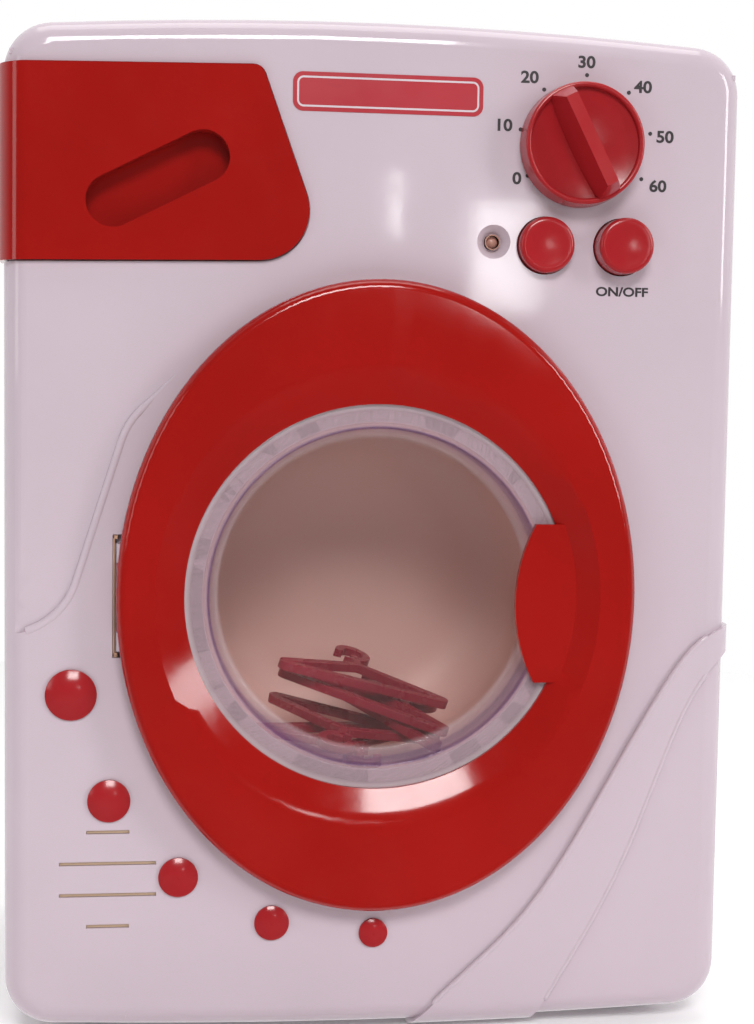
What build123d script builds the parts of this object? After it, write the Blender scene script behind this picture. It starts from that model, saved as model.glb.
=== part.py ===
from build123d import *
import os
from math import acos, atan2, copysign, cos, degrees, pi, radians, sin, sqrt, tan

# Toy washing machine, in millimetres.  The front looks along -Y, +Z is up, and the origin
# lies on the floor under the middle of the whole toy.  "Stand-off" is the distance that a
# face lies in front of the flat front of the housing; it is negative inside the housing.

# ---------------------------------------------------------------- housing
body_width = 180.0
body_height = 250.0
body_depth = 117.0
front_y = -52.0
wall = 2.0
corner_radius = 12.0
front_edge_radius = 6.0
rear_edge_radius = 4.0
top_crown = 3.8
bottom_crown = 2.3
floor_gap = 2.0
front_shell_depth = 62.0
panel_height = 59.7
drive_room = 46.0
lap_height = 2.0
lap_gap = 0.15
lap_thickness = 1.2

# ---------------------------------------------------------------- fits
running_gap = 0.05
slide_gap = 0.3
loose_gap = 0.6
proud_height = 1.2

# ---------------------------------------------------------------- door
door_x = 0.5
ring_side_gap = 26.6
ring_head_gap = 2.6
ring_foot_z = 33.3
ring_border = 16.2
ring_front = 8.0
ring_back = 0.3
ring_wall = 2.0
ring_edge_radius = 2.6
bevel_width = 7.0
bevel_height = 9.9
window_edge = 3.7
lip_thickness = 1.0
lens_thickness = 1.2
lens_overlap = 3.55
lens_seat_wall = 1.4
lens_annulus = 5.8
dish_depth = 9.5
dish_draft = 1.8
dish_dome = 1.5
liner_thickness = 1.2
grip_front = 4.8
grip_thickness = 1.8
grip_width = 13.0
grip_half_height = 19.6
grip_edge_radius = 42.0
grip_root = 2.2
grip_drop = 1.3
core_margin = 1.4
ring_rib_thickness = 1.4
ring_rib_length = 12.0
door_screw_radius = 1.1
door_screw_bite = 2.5
door_boss_radius = 2.6
door_boss_angles = (40.0, 90.0, 140.0, 220.0, 270.0, 320.0)

# ---------------------------------------------------------------- hinge and latch
hinge_inset = 1.5
hinge_stand_off = 1.9
hinge_barrel_radius = 1.5
hinge_pin_radius = 0.7
hinge_length = 26.0
hinge_ear = 4.5
hinge_slot_depth = 2.6
hinge_sweep_gap = 0.7
hinge_pocket_left = 2.5
hinge_pocket_right = 3.0
hinge_pocket_margin = 2.0
hinge_fit = 0.02
latch_inset = 5.3
latch_width = 9.0
latch_thickness = 1.6
latch_reach = 7.5
catch_wall = 1.4
catch_length = 4.0

# ---------------------------------------------------------------- tub, drum and drive
opening_margin = 0.65
tub_margin = 1.2
tub_wall = 1.6
tub_ear_reach = 10.4
tub_ear_radius = 4.2
tub_ear_front = 6.0
tub_ear_thickness = 2.0
tub_ear_angles = (45.0, 135.0, 225.0, 315.0)
tub_post_radius = 3.2
tub_fillet = 8.0
drum_gap = 1.4
drum_wall = 1.4
drum_front = 11.0
drum_back_gap = 6.0
drum_fillet = 16.0
drum_bead = 0.8
drum_skin = 0.8
drum_hub_radius = 7.0
drum_hub_length = 4.5
shaft_radius = 2.5
shaft_fit = 0.02
shaft_tap = 8.0
bushing_radius = 4.5
bushing_flange = 6.5
bushing_flange_thickness = 1.0
gear_module = 1.0
drum_gear_teeth = 36
idler_pinion_teeth = 12
idler_wheel_teeth = 32
motor_pinion_teeth = 10
pressure_angle = 20.0
gear_backlash = 0.16
wheel_addendum = 0.65
pinion_addendum = 1.0
gear_clearance = 0.25
flank_steps = 3
gear_face = 4.0
gear_gap = 0.8
gear_hub_radius = 6.0
gear_hub_step = 0.5
gear_window_circle = 11.5
gear_window_radius = 2.6
gear_window_count = 6
idler_angle = 60.0
motor_angle = 0.0
idler_axle_radius = 1.25
plate_thickness = 2.0
plate_gap = 1.8
pillar_radius = 3.0
plate_margin = 1.5
plate_post_shifts = [(-22.5, 7.5), (37.5, 1.5), (11.5, 44.5)]
plate_boss_length = 5.0
motor_width = 20.0
motor_height = 15.0
motor_length = 22.0
motor_shaft_radius = 1.0
motor_collar_radius = 3.0
motor_collar_length = 1.5

# ---------------------------------------------------------------- drawer
drawer_left_height = 46.1
drawer_top_width = 61.0
drawer_top_height = 47.7
drawer_low_width = 77.6
drawer_low_height = 1.8
drawer_top_corner = 3.0
drawer_low_corner = 12.0
drawer_wrap = 14.0
drawer_seat = 0.8
grip_slot_inset = 36.5
grip_slot_height = 20.2
grip_slot_length = 36.6
grip_slot_width = 12.6
grip_slot_tilt = 27.0
grip_slot_depth = 6.2
pocket_wall = 1.2
tray_inset = 8.5
tray_width = 48.5
tray_foot = 5.1
tray_height = 24.0
tray_length = 54.0
tray_wall = 1.5
tray_nose = 8.2
tray_left_cup = 21.5
mouth_rise = 5.6
guide_wall = 1.8
guide_rail_height = 9.0

# ---------------------------------------------------------------- controls
knob_inset = 41.2
knob_height = 31.0
knob_radius = 15.0
knob_rim = 6.6
knob_floor = 3.6
knob_lip = 1.4
knob_rim_step = 1.0
knob_bar_top = 13.0
knob_bar_width = 3.0
knob_bar_foot = 7.4
knob_pointer = -27.0
knob_stem_radius = 4.0
knob_lift = 0.4
knob_bar_lean = 2.0
knob_screw_tip = 5.0
retainer_radius = 7.0
retainer_thickness = 1.4
button_height = 6.7
left_button_inset = 49.3
on_off_button_inset = 30.2
button_radius = 6.8
button_face_radius = 5.7
button_dish = 0.5
left_button_rise = 3.5
on_off_button_rise = 6.2
button_flange = 1.2
button_flange_thickness = 1.0
plunger_radius = 1.5
plunger_reach = 5.6
plunger_length = 3.9
board_depth = 14.0
board_thickness = 1.6
board_inset = 14.0
board_length = 56.0
board_drop = 7.8
board_height = 24.0
board_margin = 4.0
board_post_radius = 2.6
switch_width = 7.4
switch_height = 3.6
switch_floor = 0.2
led_inset = 62.1
led_height = 7.3
led_radius = 1.6
led_hole_radius = 1.95
led_funnel_radius = 4.15
led_length = 6.0
led_leg_radius = 0.3
led_tip_depth = 2.2

# ---------------------------------------------------------------- relief, vents and bubbles
ribbon_height = 1.2
step_depth = 0.9
step_fade = 17.0
step_radius = 18.0
step_shifts = [(-6.0, -9.3), (13.5, -9.3), (29.5, 41.5), (45.0, 57.5)]
ribbon_upper = [(8, 102.2), (-3.6, 101.4), (-16.8, 86.7), (-32.1, 60), (-54.5, 26.1), (-76.3, 5), (-83, -4)]
ribbon_lower = [(8, 98.6), (-0.4, 95.6), (-13.6, 76.2), (-25.5, 45.3)]
ribbon_lower += [(-35.2, 25.6), (-46.6, 5.7), (-51, -4)]
vent_height = 0.9
vent_inset = 25.2
vent_centre_z = 40.9
vent_pitch = 7.8
vent_long = 23.4
vent_short = 10.4
bubble_places = [
    (197.9, 13.6, 6.2),
    (217.6, 14.5, 5.2),
    (235.2, 12.7, 4.85),
    (252.8, 9.5, 4.3),
    (270.1, 7.2, 3.6),
]
bubble_rise = 0.26
bubble_rim = 0.6
bubble_stem_radius = 1.6
bubble_stem_length = 2.0

# ---------------------------------------------------------------- sound and power
speaker_radius = 14.0
speaker_depth = 4.6
magnet_radius = 7.5
magnet_depth = 4.0
speaker_flange = 1.0
speaker_cone_depth = 3.0
speaker_rib = 1.4
speaker_rib_height = 3.2
clamp_width = 8.0
clamp_thickness = 1.8
clamp_reach = 19.0
clamp_angle = 45.0
cell_radius = 7.1
cell_length = 49.5
cell_tip_radius = 2.6
cell_tip_length = 1.2
cell_gap = 0.6
cell_count = 3
contact_gap = 2.2
contact_thickness = 0.5
contact_width = 9.0
contact_nub_radius = 2.0
battery_floor_z = 14.0
battery_lip = 2.4
battery_head = 8.0
cover_screw_rise = 3.6
cover_thickness = 1.6
cover_groove = 9.0
groove_depth = 0.8
cover_groove_count = 5

# ---------------------------------------------------------------- feet and fasteners
foot_radius = 6.0
foot_inset = 22.0
foot_front_depth = 20.0
foot_rear_inset = 19.0
foot_stem_radius = 2.0
foot_stem_height = 3.4
foot_top = 4.0
foot_base = 3.0
foot_chamfer = 0.6
foot_room = 9.0
screw_radius = 1.4
screw_head_radius = 2.8
screw_head_height = 1.6
screw_cone = 0.6
screw_bite = 9.0
short_screw = 5.0
screw_seat_depth = 8.0
well_radius = 3.2
post_radius = 3.4
post_wall = 1.2
web_thickness = 1.2
web_margin = 1.7
post_inset = 11.0
post_drop = 10.5
post_mid_z = 150.0
post_low_z = 14.5
hole_play = 0.15

# ---------------------------------------------------------------- toy hangers in the drum
hanger_width = 62.0
hanger_height = 14.0
hanger_corner = 2.0
hanger_bar = 2.2
hanger_hook_radius = 3.9
hanger_neck = 2.6
hanger_pitch = 2.4
hanger_clearance = 0.3
heap_lean = 12.0
heap_lift = 2.1
heap_reach = 28.0
heap = [
    (-6.0, 195.0, -2.0, 35.0),
    (-8.0, 162.0, 2.5, 35.0),
    (-11.0, -48.0, 5.0, 30.0),
    (-14.5, -18.0, 1.0, 24.0),
    (-17.0, 8.0, 1.0, 27.0),
]

# ---------------------------------------------------------------- sizes that follow
body_half = body_width / 2
panel_z = body_height - panel_height
ring_half_width = body_half - ring_side_gap
ring_half_height = (panel_z - ring_head_gap - ring_foot_z) / 2
door_z = ring_foot_z + ring_half_height
window_radius = ring_half_width - ring_border
crease_half_width = window_radius + bevel_width
crease_half_height = window_radius + bevel_height
lens_seat_radius = window_radius + lens_overlap
dish_radius = window_radius - lens_annulus
opening_radius = lens_seat_radius + opening_margin
tub_radius = opening_radius + tub_margin
tub_depth = body_depth - drive_room
tub_ear_circle = tub_radius + tub_ear_reach
drum_radius = tub_radius - drum_gap - drum_bead - drum_wall
grip_reach = window_radius - grip_width
grip_z = door_z - grip_drop
hinge_x = door_x - ring_half_width + hinge_inset
latch_x = door_x + ring_half_width - latch_inset
web_reach = body_half - web_margin
pilot_start = front_shell_depth - screw_bite - 1.0
screw_seat = front_shell_depth + screw_seat_depth
lens_front = window_edge - lip_thickness
lens_back = lens_front - lens_thickness
liner_front = ring_back + liner_thickness
tub_front = wall
tub_back = tub_front + tub_depth
drum_back = tub_back - drum_back_gap
shaft_front = drum_back - drum_wall + drum_skin
dish_floor = dish_depth - lens_front
dish_floor_radius = dish_radius - dish_draft
hinge_y = front_y - hinge_stand_off
tub_ear_back = tub_ear_front + tub_ear_thickness
drawer_left = -body_half - proud_height
drawer_top_x = drawer_top_width - body_half
drawer_low_x = drawer_low_width - body_half
grip_slot_x = grip_slot_inset - body_half
grip_slot_z = panel_z + grip_slot_height
tray_left = tray_inset - body_half
tray_right = tray_left + tray_width
tray_bottom = panel_z + tray_foot
tray_divider_x = tray_left + tray_left_cup
mouth_left = tray_left - loose_gap
mouth_right = tray_right + loose_gap
mouth_bottom = tray_bottom - loose_gap
mouth_top = tray_bottom + tray_height + mouth_rise
knob_x = body_half - knob_inset
knob_z = panel_z + knob_height
knob_end = wall + slide_gap
button_z = panel_z + button_height
left_button_x = body_half - left_button_inset
on_off_button_x = body_half - on_off_button_inset
button_round = button_radius - button_face_radius
button_bend = button_round * (1 - cos(radians(45)))
knob_lip_radius = knob_radius - knob_lip / 4
knob_bowl_radius = knob_lip_radius - knob_lip
flange_front = wall + slide_gap
flange_back = flange_front + button_flange_thickness
board_front = board_depth - board_thickness
board_right = body_half - board_inset
board_left = board_right - board_length
board_bottom = panel_z - board_drop
board_top = board_bottom + board_height
board_posts = [
    (board_left + board_margin, board_bottom + board_margin),
    (board_right - board_margin, board_bottom + board_margin),
    (board_right - board_margin, board_top - board_margin),
]
led_x = body_half - led_inset
led_z = panel_z + led_height
led_front = led_tip_depth + led_radius
vent_centre_x = vent_inset - body_half
speaker_back = wall + speaker_depth + magnet_depth
clamp_back = speaker_back + clamp_thickness
clamp_shift = clamp_reach * cos(radians(clamp_angle))
clamp_rise = clamp_reach * sin(radians(clamp_angle))
clamp_posts = [(vent_centre_x + side * clamp_shift, vent_centre_z + side * clamp_rise) for side in (-1, 1)]
cell_pitch = 2 * cell_radius + cell_gap
battery_half = cell_length / 2 + contact_gap
battery_top_z = battery_floor_z + cell_count * cell_pitch
cell_depth = body_depth - cover_thickness - slide_gap - cell_radius
cell_y = front_y + cell_depth
battery_front = cell_depth - cell_radius - slide_gap
cover_screw_z = battery_top_z + cover_screw_rise
boss_back = tub_back + plate_boss_length
gear_front = tub_back + tub_wall + bushing_flange_thickness + gear_gap
gear_back = gear_front + gear_face
wheel_front = gear_back + gear_gap
wheel_back = wheel_front + gear_face
plate_front = wheel_back + plate_gap
plate_back = plate_front + plate_thickness
idler_distance = gear_module * (drum_gear_teeth + idler_pinion_teeth) / 2
motor_distance = gear_module * (idler_wheel_teeth + motor_pinion_teeth) / 2
idler_x = door_x + idler_distance * cos(radians(idler_angle))
idler_z = door_z + idler_distance * sin(radians(idler_angle))
motor_x = idler_x + motor_distance * cos(radians(motor_angle))
motor_z = idler_z + motor_distance * sin(radians(motor_angle))
hinge_low = door_z - hinge_length / 2
hinge_high = door_z + hinge_length / 2
latch_z = door_z
idler_boss_back = gear_front - slide_gap
shaft_back = gear_back
motor_shaft_back = plate_back + motor_length - motor_collar_radius
plate_posts = [(door_x + shift, door_z + rise) for shift, rise in plate_post_shifts]
post_x = body_half - post_inset
post_high_z = body_height - post_drop
housing_posts = [
    (side * post_x, height) for side in (-1, 1) for height in (post_low_z, post_mid_z, post_high_z)
]
foot_x = body_half - foot_inset
foot_rear_depth = body_depth - foot_rear_inset
drum_axis = Axis((door_x, front_y, door_z), (0, 1, 0))


def oval_reach(half_width, half_height, angle):
    """How far an oval reaches from its middle at an angle in degrees."""
    across = cos(radians(angle)) / half_width
    upward = sin(radians(angle)) / half_height
    return 1 / sqrt(across**2 + upward**2)


def round_door(reach, angle):
    """A place at a distance from the middle of the door, at an angle in degrees."""
    return door_x + reach * cos(radians(angle)), door_z + reach * sin(radians(angle))


# the bosses of the door stand half way between its core and its outer wall
door_boss_reaches = []
for angle in door_boss_angles:
    core_reach = oval_reach(crease_half_width + core_margin, crease_half_height + core_margin, angle)
    wall_reach = oval_reach(ring_half_width - ring_wall, ring_half_height - ring_wall, angle)
    door_boss_reaches.append((core_reach + wall_reach) / 2)
door_bosses = [round_door(reach, angle) for reach, angle in zip(door_boss_reaches, door_boss_angles)]
tub_posts = [round_door(tub_ear_circle, angle) for angle in tub_ear_angles]
bubbles = []
for angle, gap, radius in bubble_places:
    bubble_x, bubble_z = round_door(oval_reach(ring_half_width, ring_half_height, angle) + gap, angle)
    bubbles.append((bubble_x, bubble_z, radius))


def face_plane(stand_off):
    """A plane parallel to the front, looking forward, with X to the right and Z up."""
    return Plane.XZ.offset(stand_off - front_y)


def section_plane(x, z):
    """A half section through a line from front to back: depth to the right, radius up."""
    return Plane(origin=(x, front_y, z), x_dir=(0, 1, 0), z_dir=(1, 0, 0))


def round_bar(x, z, radius, front, back, mode=Mode.ADD):
    """A round bar from one stand-off back to another."""
    with BuildSketch(face_plane(front)) as profile:
        with Locations((x, z)):
            Circle(radius)
    extrude(profile.sketch, amount=back - front, mode=mode)


def block(x_low, x_high, z_low, z_high, front, back, mode=Mode.ADD):
    """A rectangular block from one stand-off back to another."""
    with BuildSketch(face_plane(front)) as profile:
        with Locations(((x_low + x_high) / 2, (z_low + z_high) / 2)):
            Rectangle(x_high - x_low, z_high - z_low)
    extrude(profile.sketch, amount=back - front, mode=mode)


def upright_bar(x, y, radius, low, high, mode=Mode.ADD):
    """A round bar that stands upright."""
    with BuildSketch(Plane.XY.offset(low)) as profile:
        with Locations((x, y)):
            Circle(radius)
    extrude(profile.sketch, amount=high - low, mode=mode)


def cross_bar(y, z, radius, left, right, mode=Mode.ADD):
    """A round bar that lies from left to right."""
    with BuildSketch(Plane.YZ.offset(left)) as profile:
        with Locations((y, z)):
            Circle(radius)
    extrude(profile.sketch, amount=right - left, mode=mode)


def turned(x, z, outline, mode=Mode.ADD, rounds=None):
    """A piece turned round a line from front to back, from pairs of depth and radius.

    The pairs are counted from 0, and rounds gives the corners that are rounded their radius."""
    with BuildSketch(section_plane(x, z)) as profile:
        with BuildLine():
            Polyline(*outline, close=True)
        make_face()
        for corner, radius in (rounds or {}).items():
            place = (outline[corner][0], outline[corner][1], 0)
            fillet(profile.vertices().sort_by_distance(place)[0], radius)
    revolve(profile.sketch, axis=Axis((x, front_y, z), (0, 1, 0)), mode=mode)


def dome_middle(radius, rise):
    """How far a dome has fallen from its tip, half way out to its rim."""
    sphere = (radius**2 + rise**2) / (2 * rise)
    return sphere - sqrt(sphere**2 - (radius / 2) ** 2)


def domed(x, z, radius, base, rim, rise):
    """A round cap: a short straight rim in front of its base, then a shallow dome."""
    tip = base - rim - rise
    middle = tip + dome_middle(radius, rise)
    with BuildSketch(section_plane(x, z)) as profile:
        with BuildLine():
            Polyline((tip, 0), (base, 0), (base, radius), (base - rim, radius))
            ThreePointArc((base - rim, radius), (middle, radius / 2), (tip, 0))
        make_face()
    revolve(profile.sketch, axis=Axis((x, front_y, z), (0, 1, 0)))


def screw(x, z, seat, tip):
    """A pan-head screw driven in from behind: the depth of its seat and of its tip."""
    round_bar(x, z, screw_radius, -tip, -seat)
    round_bar(x, z, screw_head_radius, -seat, -seat - screw_head_height)


def countersunk(x, z, radius, face, tip, play=0.0, mode=Mode.ADD):
    """A countersunk screw driven in from behind, or with some play the hole for it."""
    cone = radius * screw_cone
    outline = [
        (tip, 0),
        (tip, radius + play),
        (face - cone, radius + play),
        (face, radius + cone + play),
        (face, 0),
    ]
    turned(x, z, outline, mode)


def gear(x, z, teeth, addendum, dedendum, phase, front, back):
    """A spur gear with involute flanks and one tooth centred on the phase, in degrees."""
    pitch = gear_module * teeth / 2
    base = pitch * cos(radians(pressure_angle))
    root = pitch - dedendum
    tip = pitch + addendum
    involute = tan(radians(pressure_angle)) - radians(pressure_angle)
    half_tooth = (pi * gear_module / 2 - gear_backlash) / (2 * pitch)
    start = max(base, root)
    flank = []
    if root < base:
        flank.append((root, half_tooth + involute))
    for step in range(flank_steps + 1):
        radius = start + (tip - start) * step / flank_steps
        turn = acos(min(1.0, base / radius))
        flank.append((radius, half_tooth + involute - tan(turn) + turn))
    points = []
    for tooth in range(teeth):
        middle = radians(phase) + 2 * pi * tooth / teeth
        for radius, angle in flank:
            points.append((x + radius * cos(middle - angle), z + radius * sin(middle - angle)))
        for radius, angle in reversed(flank):
            points.append((x + radius * cos(middle + angle), z + radius * sin(middle + angle)))
    with BuildSketch(face_plane(-front)) as profile:
        with BuildLine():
            Polyline(*points, close=True)
        make_face()
    extrude(profile.sketch, amount=front - back)


def grip_slot(stand_off, growth):
    """The slanted oval finger slot in the front of the drawer."""
    with BuildSketch(face_plane(stand_off)) as profile:
        with Locations((grip_slot_x, grip_slot_z)):
            length = grip_slot_length + 2 * growth
            SlotOverall(length, grip_slot_width + 2 * growth, rotation=grip_slot_tilt)
    return profile.sketch


def housing_outline(stand_off, inset):
    """The front view of the housing: straight sides, crowned top and bottom, round corners."""
    half = body_half
    with BuildSketch(face_plane(stand_off)) as profile:
        with BuildLine():
            top = ThreePointArc(
                (-half, body_height - top_crown), (0, body_height), (half, body_height - top_crown)
            )
            right = Line(top @ 1, (half, floor_gap + bottom_crown))
            base = ThreePointArc(right @ 1, (0, floor_gap), (-half, floor_gap + bottom_crown))
            Line(base @ 1, top @ 0)
        make_face()
        fillet(profile.vertices(), corner_radius)
        if inset:
            offset(amount=-inset, mode=Mode.REPLACE)
    return profile.sketch


def front_edges(part):
    """The edges round the foremost flat face."""
    return part.faces().sort_by(Axis.Y)[0].edges()


def drawer_outline(stand_off, growth):
    """The drawer's front: a slanted right side, a tight upper corner and a wide lower one."""
    with BuildSketch(face_plane(stand_off)) as profile:
        with BuildLine():
            Polyline(
                (drawer_left - corner_radius, panel_z + drawer_left_height),
                (drawer_top_x, panel_z + drawer_top_height),
                (drawer_low_x, panel_z + drawer_low_height),
                (drawer_left - corner_radius, panel_z),
                close=True,
            )
        make_face()
        top_corner = (drawer_top_x, panel_z + drawer_top_height, 0)
        fillet(profile.vertices().sort_by_distance(top_corner)[0], drawer_top_corner)
        low_corner = (drawer_low_x, panel_z + drawer_low_height, 0)
        fillet(profile.vertices().sort_by_distance(low_corner)[0], drawer_low_corner)
        if growth:
            offset(amount=growth, mode=Mode.REPLACE)
    return profile.sketch


def ribbon_outline(stand_off):
    """The raised ribbon that runs from the right edge down to the base."""
    with BuildSketch(face_plane(stand_off)) as profile:
        with BuildLine():
            upper = Spline(*[(body_half + shift, height) for shift, height in ribbon_upper])
            lower = Spline(*[(body_half + shift, height) for shift, height in ribbon_lower])
            Line(upper @ 0, lower @ 0)
            Line(upper @ 1, lower @ 1)
        make_face()
    return profile.sketch


# ================================================================ front housing
with BuildPart() as front_body:
    extrude(housing_outline(0, 0), amount=-front_shell_depth)
    fillet(front_edges(front_body), front_edge_radius)

with BuildPart() as front_hollow:
    extrude(housing_outline(-wall, wall), amount=wall - front_shell_depth)
    fillet(front_edges(front_hollow), front_edge_radius - wall)

with BuildPart() as ribbon:
    extrude(housing_outline(ribbon_height, -ribbon_height), amount=-ribbon_height - front_shell_depth)
    fillet(front_edges(ribbon), front_edge_radius + ribbon_height)
    ribbon_length = 2 * ribbon_height + front_shell_depth
    extrude(ribbon_outline(2 * ribbon_height), amount=-ribbon_length, mode=Mode.INTERSECT)

with BuildPart() as drawer_skin:
    extrude(housing_outline(proud_height, -proud_height), amount=-proud_height - drawer_wrap)
    fillet(front_edges(drawer_skin), front_edge_radius + proud_height)
    extrude(drawer_outline(2 * proud_height, 0), amount=-2 * proud_height - drawer_wrap, mode=Mode.INTERSECT)

with BuildPart() as drawer_bed:
    extrude(housing_outline(-drawer_seat, drawer_seat), amount=drawer_seat - front_shell_depth)
    fillet(front_edges(drawer_bed), front_edge_radius - drawer_seat)

with BuildPart() as drawer_rebate:
    extrude(drawer_outline(proud_height, slide_gap), amount=-proud_height - drawer_wrap - slide_gap)

with BuildPart() as rebate_bed:
    rebate_depth = drawer_seat + slide_gap
    extrude(housing_outline(-rebate_depth, rebate_depth), amount=rebate_depth - front_shell_depth)
    fillet(front_edges(rebate_bed), front_edge_radius - rebate_depth)

with BuildPart() as rebate_cut:
    add(drawer_rebate.part)
    add(rebate_bed.part, mode=Mode.SUBTRACT)

with BuildPart() as step_cut:
    with BuildLine(face_plane(0)) as step_path:
        step_points = [(shift - body_half, door_z + rise) for shift, rise in step_shifts]
        FilletPolyline(*step_points, radius=step_radius)
    # the wedge is deepest along the path and runs out above it
    with BuildSketch(Plane(step_path.line @ 0, x_dir=(0, 0, 1), z_dir=(1, 0, 0))):
        with BuildLine():
            Polyline((0, 0), (0, -step_depth), (step_fade, 0), close=True)
        make_face()
    sweep()

with BuildPart() as front_shell:
    add(front_body.part)
    add(ribbon.part)
    add(front_hollow.part, mode=Mode.SUBTRACT)
    add(rebate_cut.part, mode=Mode.SUBTRACT)
    add(step_cut.part, mode=Mode.SUBTRACT)
    # the round opening of the door and the mouth of the drawer
    round_bar(door_x, door_z, opening_radius, proud_height, -wall, Mode.SUBTRACT)
    block(mouth_left, mouth_right, mouth_bottom, mouth_top, proud_height, -2 * wall, Mode.SUBTRACT)
    # long posts for the housing screws, each tied to the side wall by a web
    for post, height in housing_posts:
        round_bar(post, height, post_radius, -wall / 2, -front_shell_depth)
        web_low = min(post, copysign(web_reach, post))
        web_high = max(post, copysign(web_reach, post))
        web_half = web_thickness / 2
        block(web_low, web_high, height - web_half, height + web_half, -wall, lap_height - front_shell_depth)
        round_bar(post, height, screw_radius + running_gap, -pilot_start, -front_shell_depth, Mode.SUBTRACT)
    # short posts for the tub, the circuit board and the speaker clamp
    for post, height in tub_posts:
        round_bar(post, height, tub_post_radius, -wall / 2, -tub_ear_front)
        round_bar(post, height, screw_radius + running_gap, -wall, -tub_ear_front, Mode.SUBTRACT)
    for post, height in board_posts:
        round_bar(post, height, board_post_radius, -wall / 2, -board_front)
        round_bar(post, height, screw_radius + running_gap, -wall, -board_front, Mode.SUBTRACT)
    for post, height in clamp_posts:
        round_bar(post, height, board_post_radius, -wall / 2, -speaker_back)
        round_bar(post, height, screw_radius + running_gap, -wall, -speaker_back, Mode.SUBTRACT)
    # the rib that centres the speaker behind its slots
    rib_inner = speaker_radius + slide_gap
    rib_outer = rib_inner + speaker_rib
    round_bar(vent_centre_x, vent_centre_z, rib_outer, -wall / 2, -wall - speaker_rib_height)
    round_bar(vent_centre_x, vent_centre_z, rib_inner, -wall, -wall - speaker_rib_height, Mode.SUBTRACT)
    vent_lengths = (vent_short, vent_long, vent_long, vent_short)
    vent_top_z = vent_centre_z + (len(vent_lengths) - 1) / 2 * vent_pitch
    for row, length in enumerate(vent_lengths):
        height = vent_top_z - row * vent_pitch
        x_low = vent_centre_x - length / 2
        x_high = vent_centre_x + length / 2
        z_low = height - vent_height / 2
        block(x_low, x_high, z_low, z_low + vent_height, proud_height, -2 * wall, Mode.SUBTRACT)
    # holes for the knob, the buttons and the bubbles
    round_bar(knob_x, knob_z, knob_stem_radius + 2 * running_gap, proud_height, -2 * wall, Mode.SUBTRACT)
    for button_x in (left_button_x, on_off_button_x):
        round_bar(button_x, button_z, button_radius + slide_gap, proud_height, -2 * wall, Mode.SUBTRACT)
    for bubble_x, bubble_z, radius in bubbles:
        stem_hole = bubble_stem_radius + running_gap
        round_bar(bubble_x, bubble_z, stem_hole, proud_height, -2 * wall, Mode.SUBTRACT)
    # the funnel round the indicator light
    funnel_depth = wall + wall / 2
    round_bar(led_x, led_z, led_funnel_radius, -wall / 2, -funnel_depth)
    turned(
        led_x,
        led_z,
        [(0, led_funnel_radius), (funnel_depth, led_hole_radius), (funnel_depth, 0), (0, 0)],
        Mode.SUBTRACT,
    )
    # the hinge pocket with its two ears
    pocket_left = hinge_x - hinge_pocket_left
    pocket_right = hinge_x + hinge_pocket_right
    pocket_low = hinge_low - hinge_pocket_margin
    pocket_high = hinge_high + hinge_pocket_margin
    block(
        pocket_left - wall,
        pocket_right + wall,
        pocket_low - wall,
        pocket_high + wall,
        -wall / 2,
        -hinge_slot_depth - wall,
    )
    block(pocket_left, pocket_right, pocket_low, pocket_high, proud_height, -hinge_slot_depth, Mode.SUBTRACT)
    for ear_low in (hinge_low, hinge_high - hinge_ear):
        ear_high = ear_low + hinge_ear
        ear_left = hinge_x - hinge_barrel_radius
        ear_right = hinge_x + hinge_barrel_radius
        block(ear_left, ear_right, ear_low, ear_high, hinge_stand_off, -hinge_slot_depth - wall / 2)
        upright_bar(hinge_x, hinge_y, hinge_barrel_radius, ear_low, ear_high)
    upright_bar(hinge_x, hinge_y, hinge_pin_radius + hinge_fit, hinge_low, hinge_high, Mode.SUBTRACT)
    # the slot for the door's latch, and the holes for the front feet
    block(
        latch_x - latch_thickness / 2 - loose_gap,
        latch_x + latch_thickness / 2 + loose_gap,
        latch_z - latch_width / 2 - loose_gap,
        latch_z + latch_width / 2 + loose_gap,
        proud_height,
        -2 * wall,
        Mode.SUBTRACT,
    )
    for side in (-1, 1):
        foot_hole = foot_stem_radius + running_gap
        upright_bar(side * foot_x, front_y + foot_front_depth, foot_hole, 0, foot_room, Mode.SUBTRACT)
front_shell.part.label = "front_shell"
export_step(front_shell.part, "parts/front_shell.step")

# ================================================================ rear housing
with BuildPart() as rear_body:
    extrude(housing_outline(-front_shell_depth, 0), amount=front_shell_depth - body_depth)
    fillet(rear_body.faces().sort_by(Axis.Y)[-1].edges(), rear_edge_radius)

with BuildPart() as rear_hollow:
    extrude(housing_outline(-front_shell_depth, wall), amount=front_shell_depth + wall - body_depth)
    fillet(rear_hollow.faces().sort_by(Axis.Y)[-1].edges(), rear_edge_radius - wall)

with BuildPart() as lap_tongue:
    extrude(housing_outline(lap_height - front_shell_depth, wall + lap_gap), amount=-lap_height)
    extrude(housing_outline(-front_shell_depth, wall / 2), amount=-lap_height)
    lap_inset = wall + lap_gap + lap_thickness
    lap_core = housing_outline(lap_height - front_shell_depth, lap_inset)
    extrude(lap_core, amount=-2 * lap_height, mode=Mode.SUBTRACT)

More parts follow.
